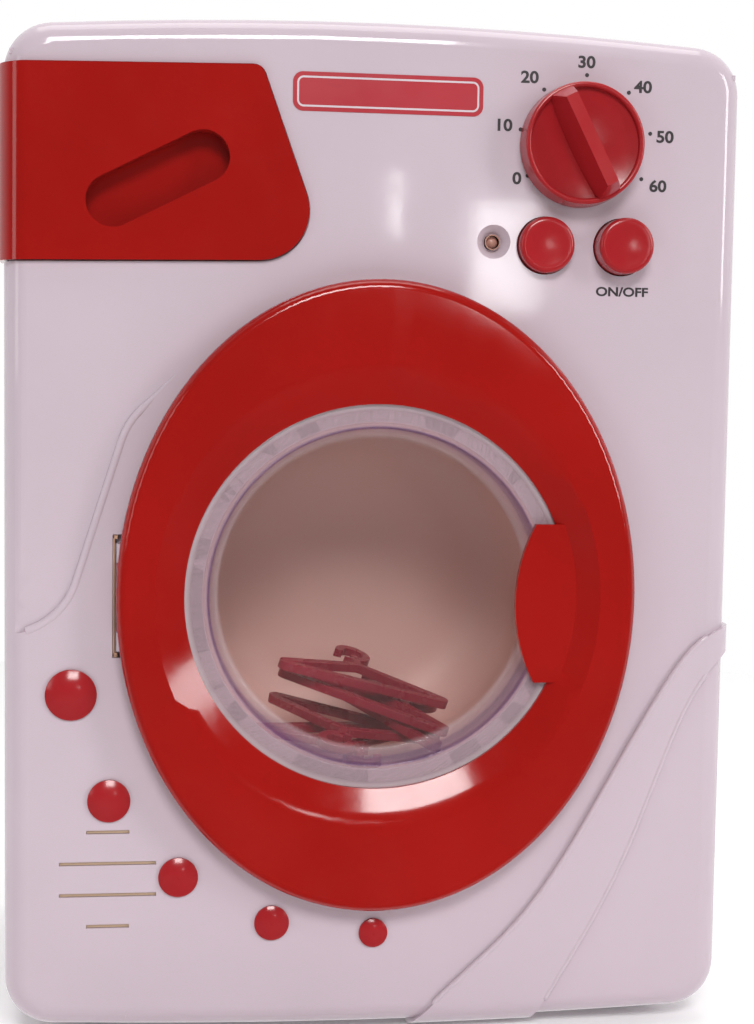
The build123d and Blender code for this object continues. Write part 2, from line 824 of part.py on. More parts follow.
with BuildPart() as rear_shell:
    add(rear_body.part)
    add(rear_hollow.part, mode=Mode.SUBTRACT)
    add(lap_tongue.part)
    for post, height in housing_posts:
        round_bar(post, height, well_radius + post_wall, -front_shell_depth, wall / 2 - body_depth)
        web_low = min(post, copysign(web_reach, post))
        web_high = max(post, copysign(web_reach, post))
        web_half = web_thickness / 2
        rear_face = wall / 2 - body_depth
        block(web_low, web_high, height - web_half, height + web_half, -front_shell_depth, rear_face)
    # the battery box, open to the rear
    block(
        -battery_half - battery_lip,
        battery_half + battery_lip,
        battery_floor_z - battery_lip,
        battery_top_z + battery_head,
        -battery_front + wall,
        wall / 2 - body_depth,
    )
    battery_room = (-battery_half, battery_half, battery_floor_z, battery_top_z)
    block(*battery_room, -battery_front, -body_depth, Mode.SUBTRACT)
    block(
        -battery_half - battery_lip / 2,
        battery_half + battery_lip / 2,
        battery_floor_z - battery_lip / 2,
        battery_top_z + battery_head - battery_lip / 2,
        cover_thickness - body_depth,
        -body_depth,
        Mode.SUBTRACT,
    )
    cover_hole = screw_radius + running_gap
    round_bar(0, cover_screw_z, cover_hole, -battery_front, -body_depth, Mode.SUBTRACT)
    for post, height in housing_posts:
        round_bar(post, height, screw_radius + hole_play, -front_shell_depth, -body_depth, Mode.SUBTRACT)
        round_bar(post, height, well_radius, -screw_seat, -body_depth, Mode.SUBTRACT)
    for side in (-1, 1):
        foot_hole = foot_stem_radius + running_gap
        upright_bar(side * foot_x, front_y + foot_rear_depth, foot_hole, 0, foot_room, Mode.SUBTRACT)
rear_shell.part.label = "rear_shell"
export_step(rear_shell.part, "parts/rear_shell.step")

# ================================================================ feet
foot_places = {
    "foot_front_left": (-foot_x, foot_front_depth),
    "foot_front_right": (foot_x, foot_front_depth),
    "foot_rear_left": (-foot_x, foot_rear_depth),
    "foot_rear_right": (foot_x, foot_rear_depth),
}
for name, (x, depth) in foot_places.items():
    with BuildPart() as foot:
        upright_bar(x, front_y + depth, foot_radius, 0, foot_top)
        chamfer(foot.edges().group_by(Axis.Z)[0], foot_chamfer)
        add(front_body.part, mode=Mode.SUBTRACT)
        add(rear_body.part, mode=Mode.SUBTRACT)
        upright_bar(x, front_y + depth, foot_stem_radius, foot_base, foot_base + foot_stem_height)
    foot.part.label = name
    export_step(foot.part, "parts/" + name + ".step")

# ================================================================ red bubbles on the front
for number, (x, z, radius) in enumerate(bubbles, start=1):
    with BuildPart() as bubble:
        domed(x, z, radius, 0, bubble_rim, bubble_rise * radius)
        round_bar(x, z, bubble_stem_radius, 0, -bubble_stem_length)
    bubble.part.label = "bubble_" + str(number)
    export_step(bubble.part, "parts/bubble_" + str(number) + ".step")

# ================================================================ tub
with BuildPart() as tub:
    tub_outline = [
        (tub_front, tub_radius),
        (tub_front, tub_radius + tub_wall),
        (tub_back + tub_wall, tub_radius + tub_wall),
        (tub_back + tub_wall, bushing_radius),
        (tub_back, bushing_radius),
        (tub_back, tub_radius),
    ]
    tub_rounds = {2: tub_fillet + tub_wall, 5: tub_fillet}
    turned(door_x, door_z, tub_outline, rounds=tub_rounds)
    for angle in tub_ear_angles:
        with BuildSketch(face_plane(-tub_ear_front)) as ear:
            with Locations((door_x, door_z)):
                with PolarLocations(tub_ear_circle, 1, angle):
                    Circle(tub_ear_radius)
                with PolarLocations((tub_ear_circle + tub_radius) / 2, 1, angle):
                    Rectangle(tub_ear_circle - tub_radius, 2 * tub_ear_radius)
                Circle(tub_radius + tub_wall / 2, mode=Mode.SUBTRACT)
        extrude(ear.sketch, amount=-tub_ear_thickness)
    for post, height in tub_posts:
        round_bar(post, height, screw_radius + hole_play, -tub_front, -tub_ear_back, Mode.SUBTRACT)
    # bosses on the back for the gear plate and the idler's axle
    for post, height in plate_posts:
        round_bar(post, height, pillar_radius + 1, -tub_back - tub_wall / 2, -boss_back)
        thread_hole = screw_radius + running_gap
        round_bar(post, height, thread_hole, -tub_back - tub_wall / 2, -boss_back, Mode.SUBTRACT)
    round_bar(idler_x, idler_z, pillar_radius, -tub_back - tub_wall / 2, -idler_boss_back)
    axle_hole = idler_axle_radius + running_gap / 2
    round_bar(idler_x, idler_z, axle_hole, -tub_back - tub_wall / 2, -idler_boss_back, Mode.SUBTRACT)
tub.part.label = "tub"
export_step(tub.part, "parts/tub.step")

with BuildPart() as drum_bushing:
    turned(
        door_x,
        door_z,
        [
            (tub_back, shaft_radius + running_gap),
            (tub_back, bushing_radius - running_gap / 2),
            (tub_back + tub_wall, bushing_radius - running_gap / 2),
            (tub_back + tub_wall, bushing_flange),
            (tub_back + tub_wall + bushing_flange_thickness, bushing_flange),
            (tub_back + tub_wall + bushing_flange_thickness, shaft_radius + running_gap),
        ],
    )
drum_bushing.part.label = "drum_bushing"
export_step(drum_bushing.part, "parts/drum_bushing.step")

# ================================================================ drum
with BuildPart() as drum:
    outer = drum_radius + drum_wall
    drum_outline = [
        (drum_front, drum_radius),
        (drum_front, outer + drum_bead),
        (drum_front + drum_wall, outer + drum_bead),
        (drum_front + drum_wall, outer),
        (drum_back, outer),
        (drum_back, drum_hub_radius),
        (drum_back + drum_hub_length, drum_hub_radius),
        (drum_back + drum_hub_length, shaft_radius),
        (shaft_front, shaft_radius),
        (shaft_front, 0),
        (drum_back - drum_wall, 0),
        (drum_back - drum_wall, drum_radius),
    ]
    drum_rounds = {4: drum_fillet + drum_wall, 11: drum_fillet}
    turned(door_x, door_z, drum_outline, rounds=drum_rounds)
drum.part.label = "drum"
export_step(drum.part, "parts/drum.step")

with BuildPart() as drum_shaft:
    round_bar(door_x, door_z, shaft_radius - shaft_fit, -shaft_front, -shaft_back)
    tap_radius = screw_radius + running_gap
    round_bar(door_x, door_z, tap_radius, -shaft_back + shaft_tap, -shaft_back, Mode.SUBTRACT)
drum_shaft.part.label = "drum_shaft"
export_step(drum_shaft.part, "parts/drum_shaft.step")

# ================================================================ gear train behind the tub
with BuildPart() as drum_gear:
    wheel_dedendum = pinion_addendum + gear_clearance
    gear(door_x, door_z, drum_gear_teeth, wheel_addendum, wheel_dedendum, idler_angle, gear_front, gear_back)
    round_bar(door_x, door_z, gear_hub_radius, -gear_front + gear_hub_step, -gear_back)
    round_bar(door_x, door_z, shaft_radius, -gear_front + gear_hub_step, -gear_back, Mode.SUBTRACT)
    with BuildSketch(face_plane(-gear_front)) as windows:
        with Locations((door_x, door_z)):
            with PolarLocations(gear_window_circle, gear_window_count, idler_angle):
                Circle(gear_window_radius)
    extrude(windows.sketch, amount=-gear_face, mode=Mode.SUBTRACT)
drum_gear.part.label = "drum_gear"
export_step(drum_gear.part, "parts/drum_gear.step")

with BuildPart() as drum_gear_screw:
    screw(door_x, door_z, gear_back + running_gap, gear_back - shaft_tap + 1)
drum_gear_screw.part.label = "drum_gear_screw"
export_step(drum_gear_screw.part, "parts/drum_gear_screw.step")

with BuildPart() as idler_gear:
    pinion_dedendum = wheel_addendum + gear_clearance
    phase = idler_angle + 180 + 180 / idler_pinion_teeth
    pinion_sizes = (idler_pinion_teeth, pinion_addendum, pinion_dedendum)
    gear(idler_x, idler_z, *pinion_sizes, phase, gear_front, wheel_front)
    wheel_sizes = (idler_wheel_teeth, wheel_addendum, wheel_dedendum)
    gear(idler_x, idler_z, *wheel_sizes, motor_angle, wheel_front, wheel_back)
    round_bar(idler_x, idler_z, idler_axle_radius + running_gap, -gear_front, -wheel_back, Mode.SUBTRACT)
idler_gear.part.label = "idler_gear"
export_step(idler_gear.part, "parts/idler_gear.step")

with BuildPart() as idler_axle:
    axle_front = tub_back + tub_wall / 2
    round_bar(idler_x, idler_z, idler_axle_radius, -axle_front, -plate_back)
idler_axle.part.label = "idler_axle"
export_step(idler_axle.part, "parts/idler_axle.step")

with BuildPart() as motor_pinion:
    phase = motor_angle + 180 + 180 / motor_pinion_teeth
    pinion_sizes = (motor_pinion_teeth, pinion_addendum, pinion_dedendum)
    gear(motor_x, motor_z, *pinion_sizes, phase, wheel_front, wheel_back + gear_gap)
    round_bar(motor_x, motor_z, motor_shaft_radius, -wheel_front, -wheel_back - gear_gap, Mode.SUBTRACT)
motor_pinion.part.label = "motor_pinion"
export_step(motor_pinion.part, "parts/motor_pinion.step")

with BuildPart() as motor_shaft:
    round_bar(motor_x, motor_z, motor_shaft_radius - shaft_fit, -wheel_front, -motor_shaft_back)
motor_shaft.part.label = "motor_shaft"
export_step(motor_shaft.part, "parts/motor_shaft.step")

with BuildPart() as gear_plate:
    with BuildSketch(face_plane(-plate_front)) as plate_outline:
        with Locations(*plate_posts, (motor_x, motor_z)):
            Circle(pillar_radius + plate_margin)
        make_hull()
    extrude(plate_outline.sketch, amount=-plate_thickness)
    for post, height in plate_posts:
        round_bar(post, height, pillar_radius, -boss_back, -plate_front)
        round_bar(post, height, screw_radius + hole_play, -boss_back, -plate_back, Mode.SUBTRACT)
    round_bar(idler_x, idler_z, pillar_radius, -wheel_back - slide_gap, -plate_front)
    round_bar(idler_x, idler_z, axle_hole, -wheel_back, -plate_back, Mode.SUBTRACT)
    round_bar(motor_x, motor_z, motor_collar_radius + hole_play, -plate_front, -plate_back, Mode.SUBTRACT)
gear_plate.part.label = "gear_plate"
export_step(gear_plate.part, "parts/gear_plate.step")

with BuildPart() as plate_screws:
    for post, height in plate_posts:
        screw(post, height, plate_back, tub_back + tub_wall)
plate_screws.part.label = "plate_screws"
export_step(plate_screws.part, "parts/plate_screws.step")

with BuildPart() as motor:
    with BuildSketch(face_plane(-plate_back)) as can:
        with Locations((motor_x, motor_z)):
            Circle(motor_width / 2)
            Rectangle(motor_width, motor_height, mode=Mode.INTERSECT)
    extrude(can.sketch, amount=-motor_length)
    round_bar(motor_x, motor_z, motor_collar_radius, motor_collar_length - plate_back, -plate_back)
    motor_bore = motor_shaft_radius + running_gap
    round_bar(motor_x, motor_z, motor_bore, -plate_front, -motor_shaft_back - 1, Mode.SUBTRACT)
motor.part.label = "motor"
export_step(motor.part, "parts/motor.step")

# ================================================================ door
with BuildPart() as bevel_cut:
    with BuildSketch(face_plane(ring_front)) as crease:
        with Locations((door_x, door_z)):
            Ellipse(crease_half_width, crease_half_height)
    with BuildSketch(face_plane(window_edge)) as window:
        with Locations((door_x, door_z)):
            Circle(window_radius)
    loft([crease.sketch, window.sketch])

with BuildPart() as ring_core:
    core_radius = lens_seat_radius + lens_seat_wall
    with BuildSketch(face_plane(ring_front - ring_wall)) as core_top:
        with Locations((door_x, door_z)):
            Ellipse(crease_half_width + core_margin, crease_half_height + core_margin)
    with BuildSketch(face_plane(lens_front)) as core_base:
        with Locations((door_x, door_z)):
            Circle(core_radius)
    loft([core_top.sketch, core_base.sketch])
    round_bar(door_x, door_z, core_radius, lens_front, ring_back - 1)

with BuildPart() as ring_cavity:
    with BuildSketch(face_plane(ring_front - ring_wall)) as cavity_top:
        with Locations((door_x, door_z)):
            Ellipse(ring_half_width - ring_wall, ring_half_height - ring_wall)
    extrude(cavity_top.sketch, amount=ring_back - 1 - ring_front + ring_wall)
    add(ring_core.part, mode=Mode.SUBTRACT)

with BuildPart() as door_ring:
    with BuildSketch(face_plane(ring_front)) as ring_outline:
        with Locations((door_x, door_z)):
            Ellipse(ring_half_width, ring_half_height)
    extrude(ring_outline.sketch, amount=ring_back - ring_front)
    fillet(front_edges(door_ring), ring_edge_radius)
    add(bevel_cut.part, mode=Mode.SUBTRACT)
    round_bar(door_x, door_z, window_radius, window_edge, 0, Mode.SUBTRACT)
    add(ring_cavity.part, mode=Mode.SUBTRACT)
    # the seat of the lens, and the room for the liner behind it
    round_bar(door_x, door_z, lens_seat_radius, lens_front, 0, Mode.SUBTRACT)
    with BuildSketch(face_plane(liner_front)) as liner_room:
        with Locations((door_x, door_z)):
            Ellipse(ring_half_width - ring_wall, ring_half_height - ring_wall)
    extrude(liner_room.sketch, amount=-ring_wall, mode=Mode.SUBTRACT)
    # bosses for the liner's screws
    with BuildSketch(face_plane(ring_front - ring_wall)) as ribs:
        for angle, reach in zip(door_boss_angles, door_boss_reaches):
            with Locations((door_x, door_z)):
                with PolarLocations(reach, 1, angle):
                    Rectangle(ring_rib_length, ring_rib_thickness)
                    Circle(door_boss_radius)
    extrude(ribs.sketch, amount=liner_front - ring_front + ring_wall)
    door_hole = door_screw_radius + running_gap
    for x, z in door_bosses:
        round_bar(x, z, door_hole, lens_front + door_screw_bite, liner_front, Mode.SUBTRACT)
    # the flat grip at the right edge of the window
    with BuildSketch(face_plane(grip_front)) as grip:
        with Locations((door_x, door_z)):
            Circle(window_radius + grip_root)
        with Locations((grip_reach + grip_edge_radius, grip_z)):
            Circle(grip_edge_radius, mode=Mode.INTERSECT)
        with Locations((grip_reach, grip_z)):
            Rectangle(2 * ring_half_width, 2 * grip_half_height, mode=Mode.INTERSECT)
    extrude(grip.sketch, amount=-grip_thickness)
    # the hinge barrel between the ears, with a clear sweep round each ear
    for ear_low in (hinge_low, hinge_high - hinge_ear):
        sweep_low = ear_low - slide_gap
        sweep_high = ear_low + hinge_ear + slide_gap
        sweep_radius = hinge_barrel_radius + hinge_sweep_gap
        upright_bar(hinge_x, hinge_y, sweep_radius, sweep_low, sweep_high, Mode.SUBTRACT)
        sweep_left = hinge_x - 2 * sweep_radius
        sweep_right = hinge_x + sweep_radius
        block(sweep_left, sweep_right, sweep_low, sweep_high, hinge_stand_off, 0, Mode.SUBTRACT)
    barrel_low = hinge_low + hinge_ear + slide_gap
    barrel_high = hinge_high - hinge_ear - slide_gap
    upright_bar(hinge_x, hinge_y, hinge_barrel_radius, barrel_low, barrel_high)
    upright_bar(hinge_x, hinge_y, hinge_pin_radius + running_gap, hinge_low, hinge_high, Mode.SUBTRACT)
door_ring.part.label = "door_ring"
export_step(door_ring.part, "parts/door_ring.step")

with BuildPart() as door_lens:
    back_radius = dish_floor_radius - lens_thickness / 2
    back_tip = dish_floor + lens_thickness + dish_dome
    front_tip = dish_floor + dish_dome
    with BuildSketch(section_plane(door_x, door_z)) as dish:
        with BuildLine():
            Polyline(
                (dish_floor, dish_floor_radius),
                (-lens_front, dish_radius),
                (-lens_front, lens_seat_radius - hole_play),
                (-lens_back, lens_seat_radius - hole_play),
                (-lens_back, dish_radius + lens_thickness),
                (dish_floor, dish_floor_radius + lens_thickness),
                (dish_floor + lens_thickness, back_radius),
            )
            ThreePointArc(
                (dish_floor + lens_thickness, back_radius),
                (back_tip - dome_middle(back_radius, dish_dome), back_radius / 2),
                (back_tip, 0),
            )
            Line((back_tip, 0), (front_tip, 0))
            ThreePointArc(
                (front_tip, 0),
                (front_tip - dome_middle(dish_floor_radius, dish_dome), dish_floor_radius / 2),
                (dish_floor, dish_floor_radius),
            )
        make_face()
    revolve(dish.sketch, axis=drum_axis)
door_lens.part.label = "door_lens"
export_step(door_lens.part, "parts/door_lens.step")

with BuildPart() as door_liner:
    with BuildSketch(face_plane(liner_front)) as liner_outline:
        with Locations((door_x, door_z)):
            Ellipse(ring_half_width - ring_wall - hole_play, ring_half_height - ring_wall - hole_play)
            Circle(dish_radius + lens_thickness + slide_gap, mode=Mode.SUBTRACT)
    extrude(liner_outline.sketch, amount=-liner_thickness)
    for x, z in door_bosses:
        countersunk(x, z, door_screw_radius, -ring_back, -liner_front, hole_play, Mode.SUBTRACT)
    # room for the hinge
    notch_right = hinge_x + hinge_barrel_radius + hinge_sweep_gap
    notch_low = hinge_low - slide_gap
    notch_high = hinge_high + slide_gap
    block(hinge_x - ring_wall, notch_right, notch_low, notch_high, liner_front, ring_back, Mode.SUBTRACT)
    # the latch tongue
    tongue_left = latch_x - latch_thickness / 2
    tongue_right = latch_x + latch_thickness / 2
    tongue_low = latch_z - latch_width / 2
    tongue_high = latch_z + latch_width / 2
    block(tongue_left, tongue_right, tongue_low, tongue_high, liner_front, ring_back - latch_reach)
door_liner.part.label = "door_liner"
export_step(door_liner.part, "parts/door_liner.step")

with BuildPart() as door_screws:
    for x, z in door_bosses:
        countersunk(x, z, door_screw_radius, -ring_back, -lens_front - door_screw_bite)
door_screws.part.label = "door_screws"
export_step(door_screws.part, "parts/door_screws.step")

with BuildPart() as hinge_pin:
    upright_bar(hinge_x, hinge_y, hinge_pin_radius, hinge_low, hinge_high)
hinge_pin.part.label = "hinge_pin"
export_step(hinge_pin.part, "parts/hinge_pin.step")

with BuildPart() as door_catch:
    catch_gap = loose_gap + latch_thickness / 2
    catch_low = tongue_low - loose_gap
    catch_high = tongue_high + loose_gap
    catch_back = wall + catch_length
    block(
        latch_x - catch_gap - catch_wall,
        latch_x + catch_gap + catch_wall,
        catch_low - catch_wall,
        catch_high + catch_wall,
        -wall,
        -catch_back,
    )
    catch_room = (latch_x - catch_gap, latch_x + catch_gap, catch_low, catch_high)
    block(*catch_room, -wall, -catch_back, Mode.SUBTRACT)
door_catch.part.label = "door_catch"
export_step(door_catch.part, "parts/door_catch.step")

# ================================================================ drawer
with BuildPart() as drawer_front:
    add(drawer_skin.part)
    add(drawer_bed.part, mode=Mode.SUBTRACT)
    pocket_floor = proud_height - grip_slot_depth - pocket_wall
    extrude(grip_slot(-drawer_seat, pocket_wall), amount=pocket_floor + drawer_seat)
    extrude(grip_slot(proud_height, 0), amount=-grip_slot_depth, mode=Mode.SUBTRACT)
drawer_front.part.label = "drawer_front"
export_step(drawer_front.part, "parts/drawer_front.step")

with BuildPart() as drawer_tray:
    tray_front = drawer_seat
    tray_back = tray_front + tray_length
    tray_top = tray_bottom + tray_height
    block(tray_left, tray_right, tray_bottom, tray_top, -tray_front, -tray_back)
    nose_back = tray_front + tray_nose
    inner_left = tray_left + tray_wall
    inner_right = tray_right - tray_wall
    inner_bottom = tray_bottom + tray_wall
    block(inner_left, inner_right, inner_bottom, tray_top, -tray_front, -nose_back, Mode.SUBTRACT)
    divider_left = tray_divider_x - tray_wall / 2
    divider_right = tray_divider_x + tray_wall / 2
    cup_front = nose_back + tray_wall
    cup_back = tray_back - tray_wall
    block(inner_left, divider_left, inner_bottom, tray_top, -cup_front, -cup_back, Mode.SUBTRACT)
    block(divider_right, inner_right, inner_bottom, tray_top, -cup_front, -cup_back, Mode.SUBTRACT)
drawer_tray.part.label = "drawer_tray"
export_step(drawer_tray.part, "parts/drawer_tray.step")

with BuildPart() as drawer_guide:
    guide_left = tray_left - slide_gap - guide_wall
    guide_right = tray_right + slide_gap + guide_wall
    guide_top = tray_bottom - slide_gap
    guide_back = tray_back + slide_gap + guide_wall
    block(guide_left, guide_right, guide_top - guide_wall, guide_top + guide_rail_height, -wall, -guide_back)
    block(
        guide_left + guide_wall,
        guide_right - guide_wall,
        guide_top,
        guide_top + guide_rail_height,
        -wall,
        guide_wall - guide_back,
        Mode.SUBTRACT,
    )
drawer_guide.part.label = "drawer_guide"
export_step(drawer_guide.part, "parts/drawer_guide.step")

# ================================================================ knob
with BuildPart() as knob_bar:
    lean = radians(knob_pointer)
    bar_plane = Plane(
        origin=(knob_x, front_y, knob_z),
        x_dir=(cos(lean), 0, -sin(lean)),
        z_dir=(sin(lean), 0, cos(lean)),
    )
    with BuildSketch(bar_plane) as bar_section:
        with BuildLine():
            Polyline(
                (-knob_bar_foot / 2, -knob_floor + wall / 2),
                (-knob_bar_width / 2, -knob_bar_top),
                (knob_bar_width / 2, -knob_bar_top),
                (knob_bar_foot / 2, -knob_floor + wall / 2),
                close=True,
            )
        make_face()
    extrude(bar_section.sketch, amount=knob_radius, both=True)
    turned(
        knob_x,
        knob_z,
        [
            (0, 0),
            (0, knob_radius - knob_lip / 2),
            (-knob_rim + knob_rim_step, knob_radius - knob_lip / 2),
            (-knob_bar_top, knob_radius - knob_lip - knob_bar_lean),
            (-knob_bar_top, 0),
        ],
        Mode.INTERSECT,
    )

with BuildPart() as timer_knob:
    with BuildSketch(section_plane(knob_x, knob_z)) as knob_section:
        with BuildLine():
            Polyline(
                (-knob_floor, 0),
                (knob_end, 0),
                (knob_end, knob_stem_radius),
                (-knob_lift, knob_stem_radius),
                (-knob_lift, knob_radius),
                (-knob_rim + knob_lip / 2, knob_lip_radius),
            )
            ThreePointArc(
                (-knob_rim + knob_lip / 2, knob_lip_radius),
                (-knob_rim, knob_lip_radius - knob_lip / 2),
                (-knob_rim + knob_lip / 2, knob_bowl_radius),
            )
            Line(
                (-knob_rim + knob_lip / 2, knob_bowl_radius),
                (-knob_rim + knob_lip, knob_bowl_radius),
            )
            bowl_rise = knob_rim - knob_lip - knob_floor
            ThreePointArc(
                (-knob_rim + knob_lip, knob_bowl_radius),
                (-knob_floor - dome_middle(knob_bowl_radius, bowl_rise), knob_bowl_radius / 2),
                (-knob_floor, 0),
            )
        make_face()
    revolve(knob_section.sketch, axis=Axis((knob_x, front_y, knob_z), (0, 1, 0)))
    add(knob_bar.part)
    knob_screw_hole = door_screw_radius + running_gap
    round_bar(knob_x, knob_z, knob_screw_hole, knob_screw_tip, -knob_end, Mode.SUBTRACT)
timer_knob.part.label = "timer_knob"
export_step(timer_knob.part, "parts/timer_knob.step")

with BuildPart() as knob_retainer:
    round_bar(knob_x, knob_z, retainer_radius, -knob_end, -knob_end - retainer_thickness)
    retainer_hole = door_screw_radius + hole_play
    round_bar(knob_x, knob_z, retainer_hole, -knob_end, -knob_end - retainer_thickness, Mode.SUBTRACT)
knob_retainer.part.label = "knob_retainer"
export_step(knob_retainer.part, "parts/knob_retainer.step")

with BuildPart() as knob_screw:
    turned(
        knob_x,
        knob_z,
        [
            (-knob_screw_tip, 0),
            (-knob_screw_tip, door_screw_radius),
            (knob_end + retainer_thickness, door_screw_radius),
            (knob_end + retainer_thickness, screw_head_radius),
            (knob_end + retainer_thickness + screw_head_height, screw_head_radius),
            (knob_end + retainer_thickness + screw_head_height, 0),
        ],
    )
knob_screw.part.label = "knob_screw"
export_step(knob_screw.part, "parts/knob_screw.step")

# ================================================================ buttons, switches and board
for name, button_x, height in (
    ("left_button", left_button_x, left_button_rise),
    ("on_off_button", on_off_button_x, on_off_button_rise),
):
    with BuildPart() as button:
        with BuildSketch(section_plane(button_x, button_z)) as button_section:
            with BuildLine():
                hollow = dome_middle(button_face_radius, button_dish)
                ThreePointArc(
                    (button_dish - height, 0),
                    (button_dish - height - hollow, button_face_radius / 2),
                    (-height, button_face_radius),
                )
                ThreePointArc(
                    (-height, button_face_radius),
                    (-height + button_bend, button_radius - button_bend),
                    (-height + button_round, button_radius),
                )
                Polyline(
                    (-height + button_round, button_radius),
                    (flange_front, button_radius),
                    (flange_front, button_radius + button_flange),
                    (flange_back, button_radius + button_flange),
                    (flange_back, plunger_radius + pocket_wall),
                    (plunger_reach, plunger_radius + pocket_wall),
                    (plunger_reach, 0),
                    (button_dish - height, 0),
                )
            make_face()
        revolve(button_section.sketch, axis=Axis((button_x, front_y, button_z), (0, 1, 0)))
    button.part.label = name + "_cap"
    export_step(button.part, "parts/" + name + "_cap.step")
    with BuildPart() as plunger:
        round_bar(button_x, button_z, plunger_radius, -plunger_reach, -plunger_reach - plunger_length)
    plunger.part.label = name + "_plunger"
    export_step(plunger.part, "parts/" + name + "_plunger.step")
    with BuildPart() as switch:
        switch_front = board_front - switch_height
        half = switch_width / 2
        x_low = button_x - half
        x_high = button_x + half
        block(x_low, x_high, button_z - half, button_z + half, -switch_front, -board_front)
        bore_back = board_front - switch_floor
        plunger_bore = plunger_radius + 2 * running_gap
        round_bar(button_x, button_z, plunger_bore, -switch_front, -bore_back, Mode.SUBTRACT)
    switch.part.label = name + "_switch"
    export_step(switch.part, "parts/" + name + "_switch.step")

with BuildPart() as circuit_board:
    block(board_left, board_right, board_bottom, board_top, -board_front, -board_depth)
    for post, height in board_posts:
        round_bar(post, height, screw_radius + hole_play, -board_front, -board_depth, Mode.SUBTRACT)
circuit_board.part.label = "circuit_board"
export_step(circuit_board.part, "parts/circuit_board.step")

with BuildPart() as indicator_light:
    domed(led_x, led_z, led_radius, led_front + led_length, led_length, led_radius)
    for side in (-1, 1):
        leg_x = led_x + side * led_radius / 2
        round_bar(leg_x, led_z, led_leg_radius, -led_front - led_length, -board_front)
indicator_light.part.label = "indicator_light"
export_step(indicator_light.part, "parts/indicator_light.step")

# ================================================================ speaker
with BuildPart() as speaker:
    turned(
        vent_centre_x,
        vent_centre_z,
        [
            (wall, speaker_radius),
            (wall + speaker_flange, speaker_radius),
            (wall + speaker_depth, magnet_radius + speaker_rib),
            (wall + speaker_depth, magnet_radius),
            (speaker_back, magnet_radius),
            (speaker_back, 0),
            (wall + speaker_cone_depth, 0),
            (wall + speaker_cone_depth, magnet_radius / 2),
            (wall + speaker_flange / 2, speaker_radius - speaker_rib),
            (wall, speaker_radius - speaker_rib),
        ],
    )
speaker.part.label = "speaker"
export_step(speaker.part, "parts/speaker.step")

with BuildPart() as speaker_clamp:
    with BuildSketch(face_plane(-speaker_back)) as clamp_outline:
        with Locations((vent_centre_x, vent_centre_z)):
            SlotOverall(2 * clamp_reach + clamp_width, clamp_width, rotation=clamp_angle)
    extrude(clamp_outline.sketch, amount=-clamp_thickness)
    for post, height in clamp_posts:
        round_bar(post, height, screw_radius + hole_play, -speaker_back, -clamp_back, Mode.SUBTRACT)
speaker_clamp.part.label = "speaker_clamp"
export_step(speaker_clamp.part, "parts/speaker_clamp.step")

with BuildPart() as short_screws:
    for post, height in tub_posts:
        screw(post, height, tub_ear_back, tub_ear_back - short_screw)
    for post, height in board_posts:
        screw(post, height, board_depth, board_depth - short_screw)
    for post, height in clamp_posts:
        screw(post, height, clamp_back, clamp_back - short_screw)
short_screws.part.label = "short_screws"
export_step(short_screws.part, "parts/short_screws.step")

# ================================================================ batteries
for number in range(cell_count):
    tip_side = 1 if number % 2 else -1
    height = battery_floor_z + number * cell_pitch + cell_pitch / 2
    with BuildPart() as cell:
        cross_bar(cell_y, height, cell_radius, -cell_length / 2, cell_length / 2)
        tip_from = min(tip_side * cell_length / 2, tip_side * (cell_length / 2 + cell_tip_length))
        cross_bar(cell_y, height, cell_tip_radius, tip_from, tip_from + cell_tip_length)
    cell.part.label = "battery_cell_" + str(number + 1)
    export_step(cell.part, "parts/battery_cell_" + str(number + 1) + ".step")

with BuildPart() as battery_contacts:
    for number in range(cell_count):
        tip_side = 1 if number % 2 else -1
        height = battery_floor_z + number * cell_pitch + cell_pitch / 2
        for side in (-1, 1):
            plate_outer = side * battery_half
            plate_inner = side * (battery_half - contact_thickness)
            with BuildSketch(Plane.YZ.offset(min(plate_outer, plate_inner))) as contact:
                with Locations((cell_y, height)):
                    Rectangle(contact_width, contact_width)
            extrude(contact.sketch, amount=contact_thickness)
            reach = cell_length / 2 + (cell_tip_length if side == tip_side else 0)
            nub_low = min(plate_inner, side * reach)
            nub_high = max(plate_inner, side * reach)
            cross_bar(cell_y, height, contact_nub_radius, nub_low, nub_high)
battery_contacts.part.label = "battery_contacts"
export_step(battery_contacts.part, "parts/battery_contacts.step")

with BuildPart() as battery_cover:
    cover_half = battery_half + battery_lip / 2 - hole_play
    cover_low = battery_floor_z - battery_lip / 2 + hole_play
    cover_high = battery_top_z + battery_head - battery_lip / 2 - hole_play
    block(-cover_half, cover_half, cover_low, cover_high, cover_thickness - body_depth, -body_depth)
    for row in range(cover_groove_count):
        groove_z = battery_floor_z + (row + 1) * cell_pitch / 2
        groove_room = (-cover_groove, cover_groove, groove_z, groove_z + groove_depth)
        block(*groove_room, groove_depth - body_depth, -body_depth, Mode.SUBTRACT)
    cover_front = body_depth - cover_thickness
    countersunk(0, cover_screw_z, screw_radius, body_depth, cover_front, hole_play, Mode.SUBTRACT)
battery_cover.part.label = "battery_cover"
export_step(battery_cover.part, "parts/battery_cover.step")

with BuildPart() as cover_screw:
    countersunk(0, cover_screw_z, screw_radius, body_depth, body_depth - screw_bite)
cover_screw.part.label = "cover_screw"
export_step(cover_screw.part, "parts/cover_screw.step")

with BuildPart() as housing_screws:
    for post, height in housing_posts:
        screw(post, height, screw_seat, front_shell_depth - screw_bite)
housing_screws.part.label = "housing_screws"
export_step(housing_screws.part, "parts/housing_screws.step")

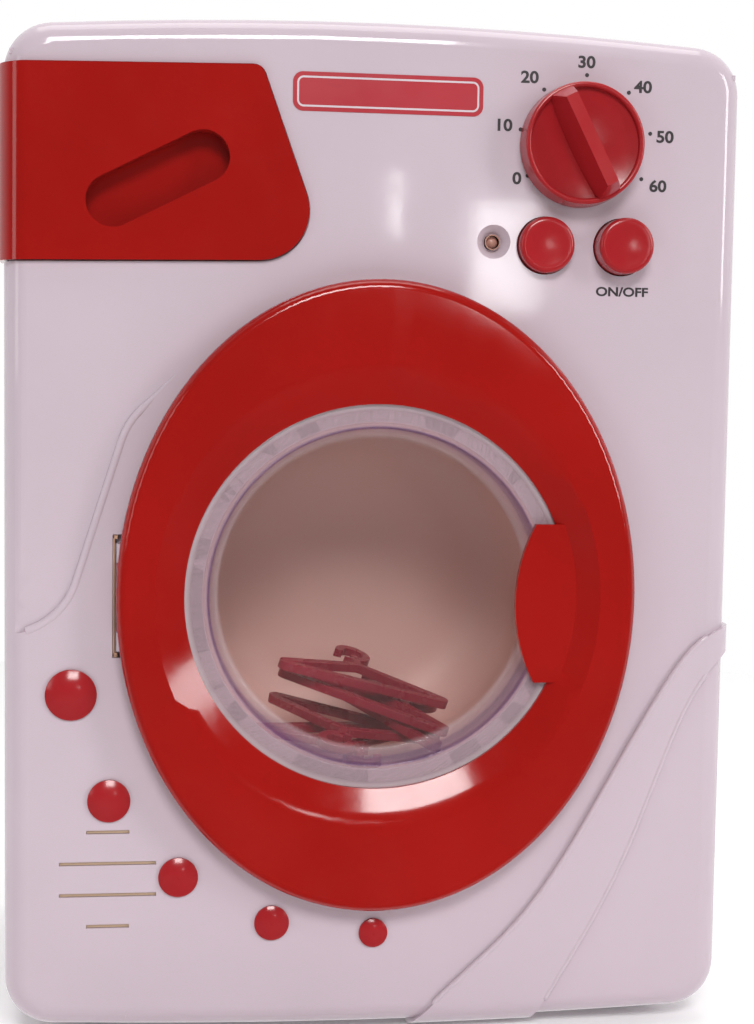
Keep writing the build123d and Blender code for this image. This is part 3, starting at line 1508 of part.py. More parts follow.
# ================================================================ toy clothes hangers
# a heap of hangers that fans out to the left: the lowest lies across the curved wall of the drum
hanger_half = hanger_width / 2
hook_middle = hanger_height + hanger_neck + hanger_hook_radius
heap_slope = radians(heap_lean)
hanger_slope = atan2(hanger_height, hanger_half)
hanger_tip = hanger_half + hanger_corner - hanger_corner / sin(hanger_slope / 2)
rest_radius = drum_radius - hanger_clearance
rest_drop = sqrt(rest_radius**2 - hanger_tip**2) - heap_lift
lowest_roll = radians(heap[0][0])
heap_depth = heap[0][3]
heap_middle = Vector(
    door_x + rest_drop * sin(lowest_roll), front_y + heap_depth, door_z - rest_drop * cos(lowest_roll)
)
heap_hinge = heap_middle + Vector(cos(lowest_roll), 0, sin(lowest_roll)) * heap_reach
for number, (roll, turn, shift, depth) in enumerate(heap, start=1):
    across = Vector(cos(radians(roll)), 0, sin(radians(roll)))
    upward = across.cross(Vector(0, cos(heap_slope), sin(heap_slope))).normalized()
    inward = upward.cross(across)
    pivot = heap_hinge + upward * hanger_pitch * (number - 1)
    hanger_plane = Plane(
        origin=pivot - across * (heap_reach - shift) + inward * (depth - heap_depth),
        x_dir=across * cos(radians(turn)) + inward * sin(radians(turn)),
        z_dir=upward,
    )
    with BuildPart() as hanger:
        with BuildSketch(hanger_plane) as frame:
            with BuildLine():
                Polyline((-hanger_half, 0), (hanger_half, 0), (0, hanger_height), close=True)
            make_face()
            fillet(frame.vertices(), hanger_corner)
            offset(amount=-hanger_bar, mode=Mode.SUBTRACT)
        extrude(frame.sketch, amount=hanger_bar)
        with BuildSketch(hanger_plane) as neck:
            with Locations((0, hanger_height + hanger_neck / 2)):
                Rectangle(hanger_bar, hanger_neck + 2 * hanger_bar)
        extrude(neck.sketch, amount=hanger_bar)
        with BuildSketch(hanger_plane) as hook:
            with Locations((0, hook_middle)):
                Circle(hanger_hook_radius + hanger_bar / 2)
                Circle(hanger_hook_radius - hanger_bar / 2, mode=Mode.SUBTRACT)
            with Locations((-hanger_hook_radius, hook_middle - hanger_hook_radius / 2)):
                Rectangle(2 * hanger_hook_radius - hanger_bar, hanger_hook_radius, mode=Mode.SUBTRACT)
        extrude(hook.sketch, amount=hanger_bar)
    hanger.part.label = "hanger_" + str(number)
    export_step(hanger.part, "parts/hanger_" + str(number) + ".step")
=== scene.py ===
# %% [markdown]
# A toy washing machine, dressed for its portrait. The CAD model gives every piece its place, and this
# lesson gives each one its surface and adds what a moulding drawing leaves out: the dial's printing,
# soft rounded forms and the light of a small studio. Everything is in metres, +Z is up, and the
# front of the toy looks along -Y.

# %% Load the frame
import math

import bmesh
import bpy
from mathutils import Matrix, Vector


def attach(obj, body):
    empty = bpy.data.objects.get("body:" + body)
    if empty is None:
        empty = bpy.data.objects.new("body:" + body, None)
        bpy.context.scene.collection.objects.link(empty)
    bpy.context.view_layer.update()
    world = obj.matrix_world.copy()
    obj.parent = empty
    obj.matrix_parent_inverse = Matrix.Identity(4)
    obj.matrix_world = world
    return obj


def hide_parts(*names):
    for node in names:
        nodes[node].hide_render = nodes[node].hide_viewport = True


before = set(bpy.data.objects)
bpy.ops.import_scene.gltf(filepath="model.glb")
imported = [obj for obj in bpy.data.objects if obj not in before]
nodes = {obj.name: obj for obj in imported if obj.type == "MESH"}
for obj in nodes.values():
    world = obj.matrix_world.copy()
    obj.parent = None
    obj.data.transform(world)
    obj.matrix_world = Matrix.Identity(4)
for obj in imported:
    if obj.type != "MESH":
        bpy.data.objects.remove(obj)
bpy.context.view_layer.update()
MM = 0.001
print("pieces in the frame:", len(nodes))

# %% [markdown]
# Moulded plastic is never one flat colour. The pigment drifts a little from place to place, the
# gloss varies where hands have rubbed it, and a fine ripple from the mould breaks up reflections.
# One function can make all the plastics here, because only those few amounts differ. Noise on
# Object coordinates stays put when a piece moves, as a painted picture would not.

# %% One recipe for moulded plastic


def surface(name):
    """A new material and its shader, ready to be wired."""
    material = bpy.data.materials.new(name)
    material.use_nodes = True
    tree = material.node_tree
    shader = tree.nodes["Principled BSDF"]
    place = tree.nodes.new("ShaderNodeTexCoord")
    return material, tree, shader, place.outputs["Object"]


def noise(tree, place, scale, detail=2.0, roughness=0.5):
    """A soft random field, in lumps of about one over its scale."""
    field = tree.nodes.new("ShaderNodeTexNoise")
    field.inputs["Scale"].default_value = scale
    field.inputs["Detail"].default_value = detail
    field.inputs["Roughness"].default_value = roughness
    tree.links.new(place, field.inputs["Vector"])
    return field.outputs["Fac"]


def spread(tree, field, low, high):
    """Turns a field into numbers from low to high."""
    ramp = tree.nodes.new("ShaderNodeMapRange")
    ramp.inputs["From Min"].default_value = 0.3
    ramp.inputs["From Max"].default_value = 0.7
    ramp.inputs["To Min"].default_value = low
    ramp.inputs["To Max"].default_value = high
    tree.links.new(field, ramp.inputs["Value"])
    return ramp.outputs["Result"]


def between(tree, field, first, second):
    """Turns a field into a colour between two."""
    mix = tree.nodes.new("ShaderNodeMix")
    mix.data_type = "RGBA"
    mix.inputs["A"].default_value = (*first, 1.0)
    mix.inputs["B"].default_value = (*second, 1.0)
    tree.links.new(field, mix.inputs["Factor"])
    return mix.outputs["Result"]


def ripple(tree, shader, place, scale, height):
    """A fine unevenness of a given height in metres."""
    bump = tree.nodes.new("ShaderNodeBump")
    bump.inputs["Strength"].default_value = 0.6
    bump.inputs["Distance"].default_value = height
    tree.links.new(noise(tree, place, scale, 3.0), bump.inputs["Height"])
    tree.links.new(bump.outputs["Normal"], shader.inputs["Normal"])


def moulded(name, colour, drift=0.05, gloss=(0.16, 0.3), grain=1400.0, height=0.00004):
    """Plastic from a mould: a drifting pigment, an uneven gloss and a fine ripple."""
    material, tree, shader, place = surface(name)
    darker = [part * (1.0 - drift) for part in colour]
    lighter = [min(1.0, part * (1.0 + drift)) for part in colour]
    shade = spread(tree, noise(tree, place, 22.0, 4.0), 0.0, 1.0)
    tree.links.new(between(tree, shade, darker, lighter), shader.inputs["Base Color"])
    rub = spread(tree, noise(tree, place, 90.0, 4.0, 0.65), *gloss)
    tree.links.new(rub, shader.inputs["Roughness"])
    ripple(tree, shader, place, grain, height)
    material.diffuse_color = (*colour, 1.0)
    return material


print("plastic recipe ready")

# %% [markdown]
# The toy's own plastics. The housing is a cool white with a trace of lilac. The door and the
# drawer are a deep glossy red, the small controls a slightly pinker one, and the little hangers have
# a duller red of their own. All of them come from the one recipe.

# %% The plastics
shell_white = moulded("shell_white", (0.56, 0.46, 0.515), 0.02, (0.04, 0.09), 500.0, 0.000006)
door_red = moulded("door_red", (0.32, 0.006, 0.004), 0.08, (0.07, 0.15), 700.0, 0.00001)
control_red = moulded("control_red", (0.35, 0.014, 0.018), 0.08, (0.12, 0.24), 700.0, 0.00001)
hanger_red = moulded("hanger_red", (0.30, 0.010, 0.030), 0.14, (0.2, 0.36))
drum_cream = moulded("drum_cream", (0.73, 0.46, 0.41), 0.04, (0.35, 0.55))
tub_grey = moulded("tub_grey", (0.58, 0.54, 0.52), 0.05, (0.35, 0.55))
liner_lilac = moulded("liner_lilac", (0.56, 0.43, 0.47), 0.04, (0.3, 0.5))
gear_nylon = moulded("gear_nylon", (0.74, 0.70, 0.62), 0.06, (0.3, 0.5))
switch_black = moulded("switch_black", (0.020, 0.020, 0.022), 0.2, (0.3, 0.5))
lamp_resin = moulded("lamp_resin", (0.44, 0.22, 0.17), 0.08, (0.2, 0.35))
foot_rubber = moulded("foot_rubber", (0.030, 0.029, 0.029), 0.2, (0.6, 0.8), 900.0, 0.0001)
speaker_paper = moulded("speaker_paper", (0.34, 0.25, 0.18), 0.15, (0.7, 0.9), 2600.0, 0.0001)
cell_jacket = moulded("cell_jacket", (0.020, 0.045, 0.075), 0.2, (0.25, 0.4))
board_green = moulded("board_green", (0.015, 0.11, 0.040), 0.2, (0.2, 0.35), 700.0, 0.00008)
print("plastics ready")

# %% [markdown]
# The metal pieces are small: zinc-plated screws, steel shafts, the drawn can of the motor, and
# brass where something turns fast. Metal takes its colour from what it reflects, so the shader is
# fully metallic, and fine drawn lines are made by noise that is stretched along one axis.

# %% The metals


def drawn_metal(name, colour, gloss, lines=(300.0, 6000.0, 6000.0)):
    """Metal with fine lines along one axis."""
    material, tree, shader, place = surface(name)
    shader.inputs["Metallic"].default_value = 1.0
    stretch = tree.nodes.new("ShaderNodeMapping")
    stretch.inputs["Scale"].default_value = lines
    tree.links.new(place, stretch.inputs["Vector"])
    field = noise(tree, stretch.outputs["Vector"], 1.0, 3.0)
    darker = [part * 0.8 for part in colour]
    tree.links.new(between(tree, field, darker, colour), shader.inputs["Base Color"])
    tree.links.new(spread(tree, field, *gloss), shader.inputs["Roughness"])
    ripple(tree, shader, stretch.outputs["Vector"], 1.0, 0.00002)
    material.diffuse_color = (*colour, 1.0)
    return material


plated_steel = drawn_metal("plated_steel", (0.60, 0.60, 0.60), (0.22, 0.42))
motor_can = drawn_metal("motor_can", (0.55, 0.55, 0.54), (0.28, 0.48), (6000.0, 300.0, 6000.0))
turned_brass = drawn_metal("turned_brass", (0.72, 0.52, 0.22), (0.2, 0.38))
print("metals ready")

# %% [markdown]
# Much of what is added from here on sits on the front or round the door. Both places come from the
# CAD drawing, so they are named once, in millimetres, and nothing can drift apart.

# %% Places on the front
FRONT = -52.0
DOOR_X, DOOR_Z = 0.5, 110.5
front_y = FRONT * MM
door_middle = (DOOR_X * MM, 0.0, DOOR_Z * MM)
print("the door's middle:", [round(part, 4) for part in door_middle])

# %% [markdown]
# The window is one clear moulding. Glass that bends light would work, at the price of a dark and
# grainy drum, so the shader is see-through instead. How much the plastic shows depends on how far a
# point is from the window's middle, so that distance is measured first, with the depth left out.

# %% How far from the window's middle
RAMP_REACH = 50.0
window_clear, tree, shader, place = surface("window_clear")
shader.inputs["IOR"].default_value = 1.46
offset = tree.nodes.new("ShaderNodeVectorMath")
offset.operation = "SUBTRACT"
offset.inputs[1].default_value = door_middle
tree.links.new(place, offset.inputs[0])
in_plane = tree.nodes.new("ShaderNodeVectorMath")
in_plane.operation = "MULTIPLY"
in_plane.inputs[1].default_value = (1.0, 0.0, 1.0)
tree.links.new(offset.outputs["Vector"], in_plane.inputs[0])
distance = tree.nodes.new("ShaderNodeVectorMath")
distance.operation = "LENGTH"
tree.links.new(in_plane.outputs["Vector"], distance.inputs[0])
share = tree.nodes.new("ShaderNodeMapRange")
share.inputs["From Max"].default_value = RAMP_REACH * MM
tree.links.new(distance.outputs["Value"], share.inputs["Value"])
print("ramps reach to", RAMP_REACH, "mm")

# %% [markdown]
# Two ramps run along that distance. The plastic hardly shows in the dish and is a lilac tint on the
# flat border. At the step between them a dark violet line is painted in: painted shade, standing for
# a clear wall seen on edge. One ramp holds the colour and the other how strongly it covers what lies
# behind.

# %% The clear window


def rings(tree, value, stops):
    """A ramp of colours along a value, with a colour for each radius in millimetres."""
    ramp = tree.nodes.new("ShaderNodeValToRGB")
    steps = ramp.color_ramp.elements
    while len(steps) < len(stops):
        steps.new(0.5)
    for step, (radius, colour) in zip(steps, stops):
        step.position = radius / RAMP_REACH
        step.color = (*colour, 1.0)
    tree.links.new(value, ramp.inputs["Fac"])
    return ramp.outputs["Color"]


tint_and_edge_shade = [
    (0.0, (0.70, 0.56, 0.54)),
    (38.6, (0.70, 0.56, 0.54)),
    (39.8, (0.80, 0.68, 0.74)),
    (40.9, (0.60, 0.46, 0.56)),
    # painted shade: these two stops draw the dark violet line of the dish's wall seen on edge
    (41.2, (0.14, 0.07, 0.20)),
    (41.6, (0.14, 0.07, 0.20)),
    (41.9, (0.58, 0.42, 0.48)),
    (45.6, (0.58, 0.42, 0.47)),
    (46.8, (0.80, 0.68, 0.72)),
]
strength = [
    (0.0, (0.02,) * 3),
    (38.4, (0.03,) * 3),
    (39.6, (0.20,) * 3),
    (40.9, (0.26,) * 3),
    # painted shade: the dark line also covers more of what lies behind
    (41.2, (0.55,) * 3),
    (41.6, (0.55,) * 3),
    (41.9, (0.36,) * 3),
    (45.6, (0.40,) * 3),
    (46.8, (0.55,) * 3),
]
tree.links.new(rings(tree, share.outputs["Result"], tint_and_edge_shade), shader.inputs["Base Color"])
tree.links.new(rings(tree, share.outputs["Result"], strength), shader.inputs["Alpha"])
tree.links.new(spread(tree, noise(tree, place, 120.0), 0.03, 0.08), shader.inputs["Roughness"])
ripple(tree, shader, place, 60.0, 0.00005)
window_clear.diffuse_color = (0.9, 0.88, 0.9, 0.3)
print("window ready")

# %% [markdown]
# Each CAD piece now gets its finish. A table of finish to pieces is easier to check than fifty
# separate lines, and a piece that is missing from it would show up grey.

# %% Finishes for the CAD pieces
finishes = {
    shell_white: ["front_shell", "rear_shell", "battery_cover"],
    door_red: ["door_ring", "drawer_front"],
    control_red: ["timer_knob", "left_button_cap", "on_off_button_cap"]
    + ["bubble_" + str(number) for number in range(1, 6)],
    hanger_red: ["hanger_" + str(number) for number in range(1, 6)],
    window_clear: ["door_lens"],
    drum_cream: ["drum"],
    liner_lilac: ["door_liner"],
    tub_grey: ["tub", "drawer_tray", "drawer_guide", "gear_plate"]
    + ["speaker_clamp", "knob_retainer", "door_catch"],
    gear_nylon: ["drum_gear", "idler_gear", "left_button_plunger", "on_off_button_plunger"],
    turned_brass: ["motor_pinion", "drum_bushing"],
    plated_steel: ["drum_shaft", "idler_axle", "motor_shaft", "hinge_pin", "short_screws"]
    + ["plate_screws", "housing_screws", "door_screws", "drum_gear_screw", "knob_screw"]
    + ["cover_screw", "battery_contacts"],
    motor_can: ["motor"],
    switch_black: ["left_button_switch", "on_off_button_switch"],
    board_green: ["circuit_board"],
    lamp_resin: ["indicator_light"],
    speaker_paper: ["speaker"],
    cell_jacket: ["battery_cell_" + str(number) for number in range(1, 4)],
    foot_rubber: ["foot_front_left", "foot_front_right", "foot_rear_left", "foot_rear_right"],
}
finished = set()
for finish, names in finishes.items():
    for name in names:
        nodes[name].data.materials.clear()
        nodes[name].data.materials.append(finish)
        finished.add(name)
print("pieces without a finish:", sorted(set(nodes) - finished))

# %% [markdown]
# A model from CAD arrives as loose triangles, and flat shading shows each one. Merging the corners
# lets light run smoothly over the curves. An edge stays crisp where its two faces meet at a clear
# angle, and weighting the normals by area keeps the large flat faces truly flat.

# %% A smooth piece


def add(name, data):
    """A new object in the scene."""
    made = bpy.data.objects.new(name, data)
    bpy.context.scene.collection.objects.link(made)
    return made


def settle(name, shape, finish, body, crease=30.0):
    """Makes a piece of the toy from a finished bmesh, smooth but for its clear edges."""
    for face in shape.faces:
        face.smooth = True
    for edge in shape.edges:
        edge.smooth = edge.calc_face_angle(0.0) < math.radians(crease)
    mesh = bpy.data.meshes.new(name)
    shape.to_mesh(mesh)
    shape.free()
    mesh.materials.append(finish)
    piece = add(name, mesh)
    even = piece.modifiers.new("even_light", "WEIGHTED_NORMAL")
    even.keep_sharp = True
    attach(piece, body)
    return piece


def round_edges(shape, geom, radius, segments, affect="EDGES", clamp=False):
    """Rounds edges, or the corners of a flat face, by a radius in millimetres."""
    bmesh.ops.bevel(
        shape,
        geom=geom,
        offset=radius * MM,
        segments=segments,
        affect=affect,
        profile=0.5,
        material=-1,
        clamp_overlap=clamp,
    )


print("helpers for pieces ready")

# %% [markdown]
# The faint step beside the door ends in the CAD model at a small corner, and on the real moulding it
# runs out to nothing. In the copy of the shell the faces there are cut once across, a little before
# the end, and the corner is raised to the front, so the step fades over that last stretch.

# %% The end of the step
STEP_CORNER = (-45.0, -51.1, 168.0)
STEP_ALONG = (15.5, 0.0, 16.0)
STEP_FADE = 7.0
STEP_REACH = 30.0
CORNER_REACH = 0.3


def run_out(shape):
    """Raises the corner at the upper end of the step, so that the step runs out softly."""
    corner = Vector(STEP_CORNER) * MM
    along = Vector(STEP_ALONG).normalized()
    near = [face for face in shape.faces if (face.calc_center_median() - corner).length < STEP_REACH * MM]
    edges = dict.fromkeys(edge for face in near for edge in face.edges)
    ends = dict.fromkeys(end for face in near for end in face.verts)
    cut = corner - STEP_FADE * MM * along
    bmesh.ops.bisect_plane(
        shape, geom=near + list(edges) + list(ends), dist=0.0000001, plane_co=cut, plane_no=along
    )
    raised = [vertex for vertex in shape.verts if (vertex.co - corner).length < CORNER_REACH * MM]
    for vertex in raised:
        vertex.co.y = FRONT * MM
    print("corners raised:", len(raised))


print("the step fades over", STEP_FADE, "mm")

# %% [markdown]
# A skin is a merged and smoothly shaded copy of a CAD piece, and it stands for that piece in every
# picture. Flat and hidden pieces don't need one. The hangers get a skin of their own kind: they are
# cast with soft edges, so their sharp ones are rounded as well.

# %% Smooth skins over the CAD pieces
# corners nearer to each other than this, in metres, are merged
MERGE = 0.000002
SHARP = math.radians(50.0)
HANGER_ROUNDING = 0.6


def skin(node, body, finish):
    """A merged, smoothly shaded copy that stands for a CAD piece."""
    shape = bmesh.new()
    shape.from_mesh(nodes[node].data)
    if node == "front_shell":
        run_out(shape)
    bmesh.ops.remove_doubles(shape, verts=shape.verts, dist=MERGE)
    piece = settle(node + "_skin", shape, finish, body)
    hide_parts(node)
    return piece


def rounded_skin(node, body, finish, radius):
    """A copy of a CAD piece whose sharp edges are rounded, as a mould leaves them."""
    shape = bmesh.new()
    shape.from_mesh(nodes[node].data)
    bmesh.ops.remove_doubles(shape, verts=shape.verts, dist=MERGE)
    bmesh.ops.dissolve_limit(
        shape, angle_limit=math.radians(1.5), verts=list(shape.verts), edges=list(shape.edges)
    )
    sharp = [edge for edge in shape.edges if edge.calc_face_angle(0.0) > SHARP]
    round_edges(shape, sharp, radius, 3, clamp=True)
    piece = settle(node + "_skin", shape, finish, body, 50.0)
    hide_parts(node)
    return piece


skins = {
    "front_shell": ("cabinet", shell_white),
    "rear_shell": ("cabinet", shell_white),
    "battery_cover": ("cabinet", shell_white),
    "tub": ("cabinet", tub_grey),
    "door_ring": ("door", door_red),
    "drawer_front": ("drawer", door_red),
    "drawer_tray": ("drawer", tub_grey),
    "timer_knob": ("knob", control_red),
    "left_button_cap": ("left_button", control_red),
    "on_off_button_cap": ("on_off_button", control_red),
    "drum": ("drum", drum_cream),
}
for corner in ("front_left", "front_right", "rear_left", "rear_right"):
    skins["foot_" + corner] = ("cabinet", foot_rubber)
for number in range(1, 6):
    skins["bubble_" + str(number)] = ("cabinet", control_red)
for node, (body, finish) in skins.items():
    skin(node, body, finish)
for number in range(1, 6):
    rounded_skin("hanger_" + str(number), "drum", hanger_red, HANGER_ROUNDING)
print("smooth skins:", len(skins), "and five hangers")

# %% [markdown]
# The mould leaves a soft rounded ridge along the step on the left and along both sides of the ribbon
# on the right, and these ridges catch the light as thin bright lines. Each is drawn as a curve along
# the sharp edges of the shell, which is given a round section and sunk most of the way in.

# %% Which edges carry a ridge
RIBBON_HEIGHT, RIBBON_TOP = 1.2, 105.0
STEP_RIGHT, STEP_LOW, STEP_HIGH = -44.0, 95.0, 175.0
HINGE_LEFT, HINGE_TOP = -65.0, 127.0
LEVEL = 0.1


def on_step(place):
    """True on the top of the step, left of the door and clear of its hinge."""
    x, y, z = (part / MM for part in place)
    by_hinge = x > HINGE_LEFT and z < HINGE_TOP
    return abs(y - FRONT) < LEVEL and x < STEP_RIGHT and STEP_LOW < z < STEP_HIGH and not by_hinge


def on_ribbon(place):
    """True on the top of the ribbon."""
    x, y, z = (part / MM for part in place)
    return abs(y - FRONT + RIBBON_HEIGHT) < LEVEL and x > 0.0 and z < RIBBON_TOP


print("edges of the ridges chosen by place")

# %% [markdown]
# Blender can turn edges into a curve and give the curve a round section, which follows every bend.
# A tube swept by hand would need a list of points. The ends are drawn thinner, so that a ridge
# doesn't stop like a cut pipe.

# %% Ridges on the front
END_THICKNESS = 0.3


def ridge(name, belongs, radius, sink, top):
    """A rounded ridge along sharp edges of the front shell, up to a height."""
    shape = bmesh.new()
    shape.from_mesh(nodes["front_shell"].data)
    bmesh.ops.remove_doubles(shape, verts=shape.verts, dist=MERGE)
    others = [
        edge
        for edge in shape.edges
        if edge.calc_face_angle(0.0) < SHARP or not all(belongs(end.co) for end in edge.verts)
    ]
    bmesh.ops.delete(shape, geom=others, context="EDGES")
    bmesh.ops.delete(shape, geom=[end for end in shape.verts if not end.link_edges], context="VERTS")
    bmesh.ops.delete(shape, geom=list(shape.faces), context="FACES_ONLY")
    bmesh.ops.bisect_plane(
        shape,
        geom=list(shape.verts) + list(shape.edges),
        plane_co=(0.0, 0.0, top * MM),
        plane_no=(0.0, 0.0, 1.0),
        clear_outer=True,
    )
    bmesh.ops.translate(shape, verts=shape.verts, vec=(0.0, sink * MM, 0.0))
    path = bpy.data.meshes.new(name + "_path")
    shape.to_mesh(path)
    shape.free()
    draft = add(name + "_draft", path)
    for chosen in list(bpy.context.selected_objects):
        chosen.select_set(False)
    bpy.context.view_layer.objects.active = draft
    draft.select_set(True)
    bpy.ops.object.convert(target="CURVE")
    draft.data.bevel_depth = radius * MM
    draft.data.bevel_resolution = 4
    draft.data.use_fill_caps = True
    for spline in draft.data.splines:
        for end in (spline.points[0], spline.points[-1]):
            end.radius = END_THICKNESS
    bpy.context.view_layer.update()
    mesh = bpy.data.meshes.new_from_object(draft.evaluated_get(bpy.context.evaluated_depsgraph_get()))
    bpy.data.objects.remove(draft)
    rounded = bmesh.new()
    rounded.from_mesh(mesh)
    bmesh.ops.remove_doubles(rounded, verts=rounded.verts, dist=0.000005)
    bmesh.ops.recalc_face_normals(rounded, faces=rounded.faces)
    print(name, "faces:", len(rounded.faces))
    return settle(name, rounded, shell_white, "cabinet", 60.0)


ridge("step_ridge", on_step, 1.1, 0.75, 164.0)
ridge("ribbon_ridge", on_ribbon, 0.7, 0.5, 110.0)

# %% [markdown]
# The window is turned afresh: a half section goes once round the door's middle, and its sharp rings
# are then rounded. The dish is drafted so that it leaves its mould, and its floor is a very flat dome.

# %% A turned piece


def turn_round(name, section, middle, finish, body, edge=0.0, steps=144):
    """Turns pairs of depth and radius in millimetres about a line from front to back."""
    shape = bmesh.new()
    line = [
        shape.verts.new((middle[0] + radius * MM, (FRONT + depth) * MM, middle[2]))
        for depth, radius in section
    ]
    for first, second in zip(line, line[1:] + line[:1]):
        shape.edges.new((first, second))
    bmesh.ops.spin(
        shape,
        geom=list(shape.verts) + list(shape.edges),
        cent=middle,
        axis=(0.0, 1.0, 0.0),
        angle=math.tau,
        steps=steps,
        use_merge=True,
    )
    bmesh.ops.remove_doubles(shape, verts=shape.verts, dist=MERGE)
    bmesh.ops.dissolve_degenerate(shape, edges=shape.edges, dist=0.000001)
    if edge:
        sharp = [ring for ring in shape.edges if ring.calc_face_angle(0.0) > math.radians(35.0)]
        round_edges(shape, sharp, edge, 4, clamp=True)
    bmesh.ops.recalc_face_normals(shape, faces=shape.faces)
    return settle(name, shape, finish, body, 40.0)


print("turning ready")

# %% [markdown]
# The half section of the window starts at the foot of the dish, goes over the flat border and its
# rim, and comes back behind them. The two sides of the floor are flat domes, which need a few points.

# %% The window, turned
LENS_FRONT, LENS_WALL, LENS_RIM = -2.7, 1.2, 50.6
DISH_TOP, DISH_FOOT, DISH_FLOOR, DISH_DOME = 41.4, 39.6, 6.8, 1.5
DOME_RINGS = 12
LENS_ROUNDING = 0.35


def dome(depth, reach, rings, inwards):
    """Points on the flat dome of the dish's floor, towards its middle or away from it."""
    points = [
        (depth + DISH_DOME * (1.0 - (ring / rings) ** 2), reach * ring / rings) for ring in range(rings)
    ]
    return points[::-1] if inwards else points


section = [(DISH_FLOOR, DISH_FOOT), (LENS_FRONT, DISH_TOP), (LENS_FRONT, LENS_RIM)]
section += [(LENS_FRONT + LENS_WALL, LENS_RIM), (LENS_FRONT + LENS_WALL, DISH_TOP + LENS_WALL)]
section += [(DISH_FLOOR, DISH_FOOT + LENS_WALL), (DISH_FLOOR + LENS_WALL, DISH_FOOT)]
section += dome(DISH_FLOOR + LENS_WALL, DISH_FOOT, DOME_RINGS, True)
section += dome(DISH_FLOOR, DISH_FOOT, DOME_RINGS, False)
lens = turn_round("clear_dish", section, door_middle, window_clear, "door", LENS_ROUNDING)
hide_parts("door_lens")
print("window faces:", len(lens.data.polygons))

# %% [markdown]
# A tan strip is painted into the pocket of the door's hinge. It is painted light: it stands for the
# pocket's shade lit through the thin plastic, which would otherwise look black at its left and at both
# ends. It is three blocks in one piece, and each says how far it lies from the hinge's line, how high it
# is, how wide and how tall.

# %% Painted light in the hinge's pocket
RING_HALF_WIDTH, HINGE_INSET = 63.4, 1.5
SHADE_STRIP_DEPTH, SHADE_STRIP_THICKNESS = -50.6, 1.9
# painted light: the tan of the pocket's shade, lit through the thin plastic
painted_pocket_tan = moulded("painted_pocket_tan", (0.60, 0.36, 0.24), 0.12, (0.35, 0.55))
hinge_line = (DOOR_X - RING_HALF_WIDTH + HINGE_INSET) * MM
pocket_shade_strip = bmesh.new()
blocks = [(-2.2, DOOR_Z, 0.5, 29.6), (-1.85, 96.1, 1.2, 1.1), (-1.85, 124.9, 1.2, 1.1)]
for shift, height, width, tall in blocks:
    middle = Matrix.Translation((hinge_line + shift * MM, SHADE_STRIP_DEPTH * MM, height * MM))
    size = Matrix.Diagonal((width * MM, SHADE_STRIP_THICKNESS * MM, tall * MM, 1.0))
    bmesh.ops.create_cube(pocket_shade_strip, size=1.0, matrix=middle @ size)
round_edges(pocket_shade_strip, list(pocket_shade_strip.edges), 0.15, 2)
settle("hinge_pocket_shade", pocket_shade_strip, painted_pocket_tan, "cabinet")
print("lining ready")

# %% [markdown]
# A small washer closes the gap between the indicator light and its hole. It is turned like the
# window, from a section of pairs of depth and radius.

# %% The light's washer
LIGHT_X, LIGHT_Z = 27.9, 197.6
hinge_beige = moulded("hinge_beige", (0.46, 0.25, 0.19), 0.12, (0.35, 0.55))
light_middle = (LIGHT_X * MM, 0.0, LIGHT_Z * MM)
washer = [(1.5, 1.64), (2.1, 1.64), (2.1, 1.9), (1.5, 1.9)]
turn_round("light_washer", washer, light_middle, hinge_beige, "cabinet", 0.08, 48)
print("washer ready")

# %% [markdown]
# The printing on a real control panel is ink, a few hundredths of a millimetre thick. Its colour is
# a dark grey that is never quite even, and it is a little duller than the plastic round it.

# %% The ink
print_ink, tree, shader, place = surface("print_ink")
ink_shade = between(tree, noise(tree, place, 500.0), (0.022, 0.017, 0.020), (0.040, 0.030, 0.034))
tree.links.new(ink_shade, shader.inputs["Base Color"])
tree.links.new(spread(tree, noise(tree, place, 900.0), 0.35, 0.55), shader.inputs["Roughness"])
ripple(tree, shader, place, 3000.0, 0.00001)
print_ink.diffuse_color = (0.03, 0.024, 0.027, 1.0)
print("ink ready")

# %% [markdown]
# A picture of the letters would blur close by, so the printing is a thin solid of its own, made from
# Blender's text. The letters are a little heavier than the typeface draws them. Half as heavy again
# is too much: the figure 6 then breaks.

# %% A way to print
LETTER_WEIGHT = 0.03
INK_THICKNESS, INK_DEPTH = 0.04, 0.025
UPRIGHT = Matrix.Rotation(math.radians(90.0), 4, "X")


def printed(name, words, x, z, height, width=1.0):
    """Words in ink on the front, with their middle at a place in millimetres."""
    letters = bpy.data.curves.new(name, "FONT")
    letters.body = words
    letters.align_x = "CENTER"
    letters.size = 1.0
    letters.offset = LETTER_WEIGHT
    letters.extrude = 0.5
    draft = add(name + "_draft", letters)
    bpy.context.view_layer.update()
    mesh = bpy.data.meshes.new_from_object(draft)
    bpy.data.objects.remove(draft)
    tall = max(corner.co.y for corner in mesh.vertices)
    low = min(corner.co.y for corner in mesh.vertices)
    across = [corner.co.x for corner in mesh.vertices]
    middle = (max(across) + min(across)) / 2
    scale = height / (tall - low)
    flat = Matrix.Diagonal((scale * width * MM, scale * MM, INK_THICKNESS * MM, 1.0))
    centre = Matrix.Translation((-middle, -(tall + low) / 2, 0.0))
    stand = Matrix.Translation((x * MM, front_y - INK_DEPTH * MM, z * MM))
    mesh.transform(stand @ UPRIGHT @ flat @ centre)
    mesh.name = name
    mesh.materials.clear()
    mesh.materials.append(print_ink)
    piece = add(name, mesh)
    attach(piece, "cabinet")
    return piece


print("printing ready")

# %% [markdown]
# The dial runs from 0 to 60, and the switch below it says ON/OFF. Numbers on a dial are placed by
# eye, some nearer to their dots than others, so each has its own place: the number, x and z.

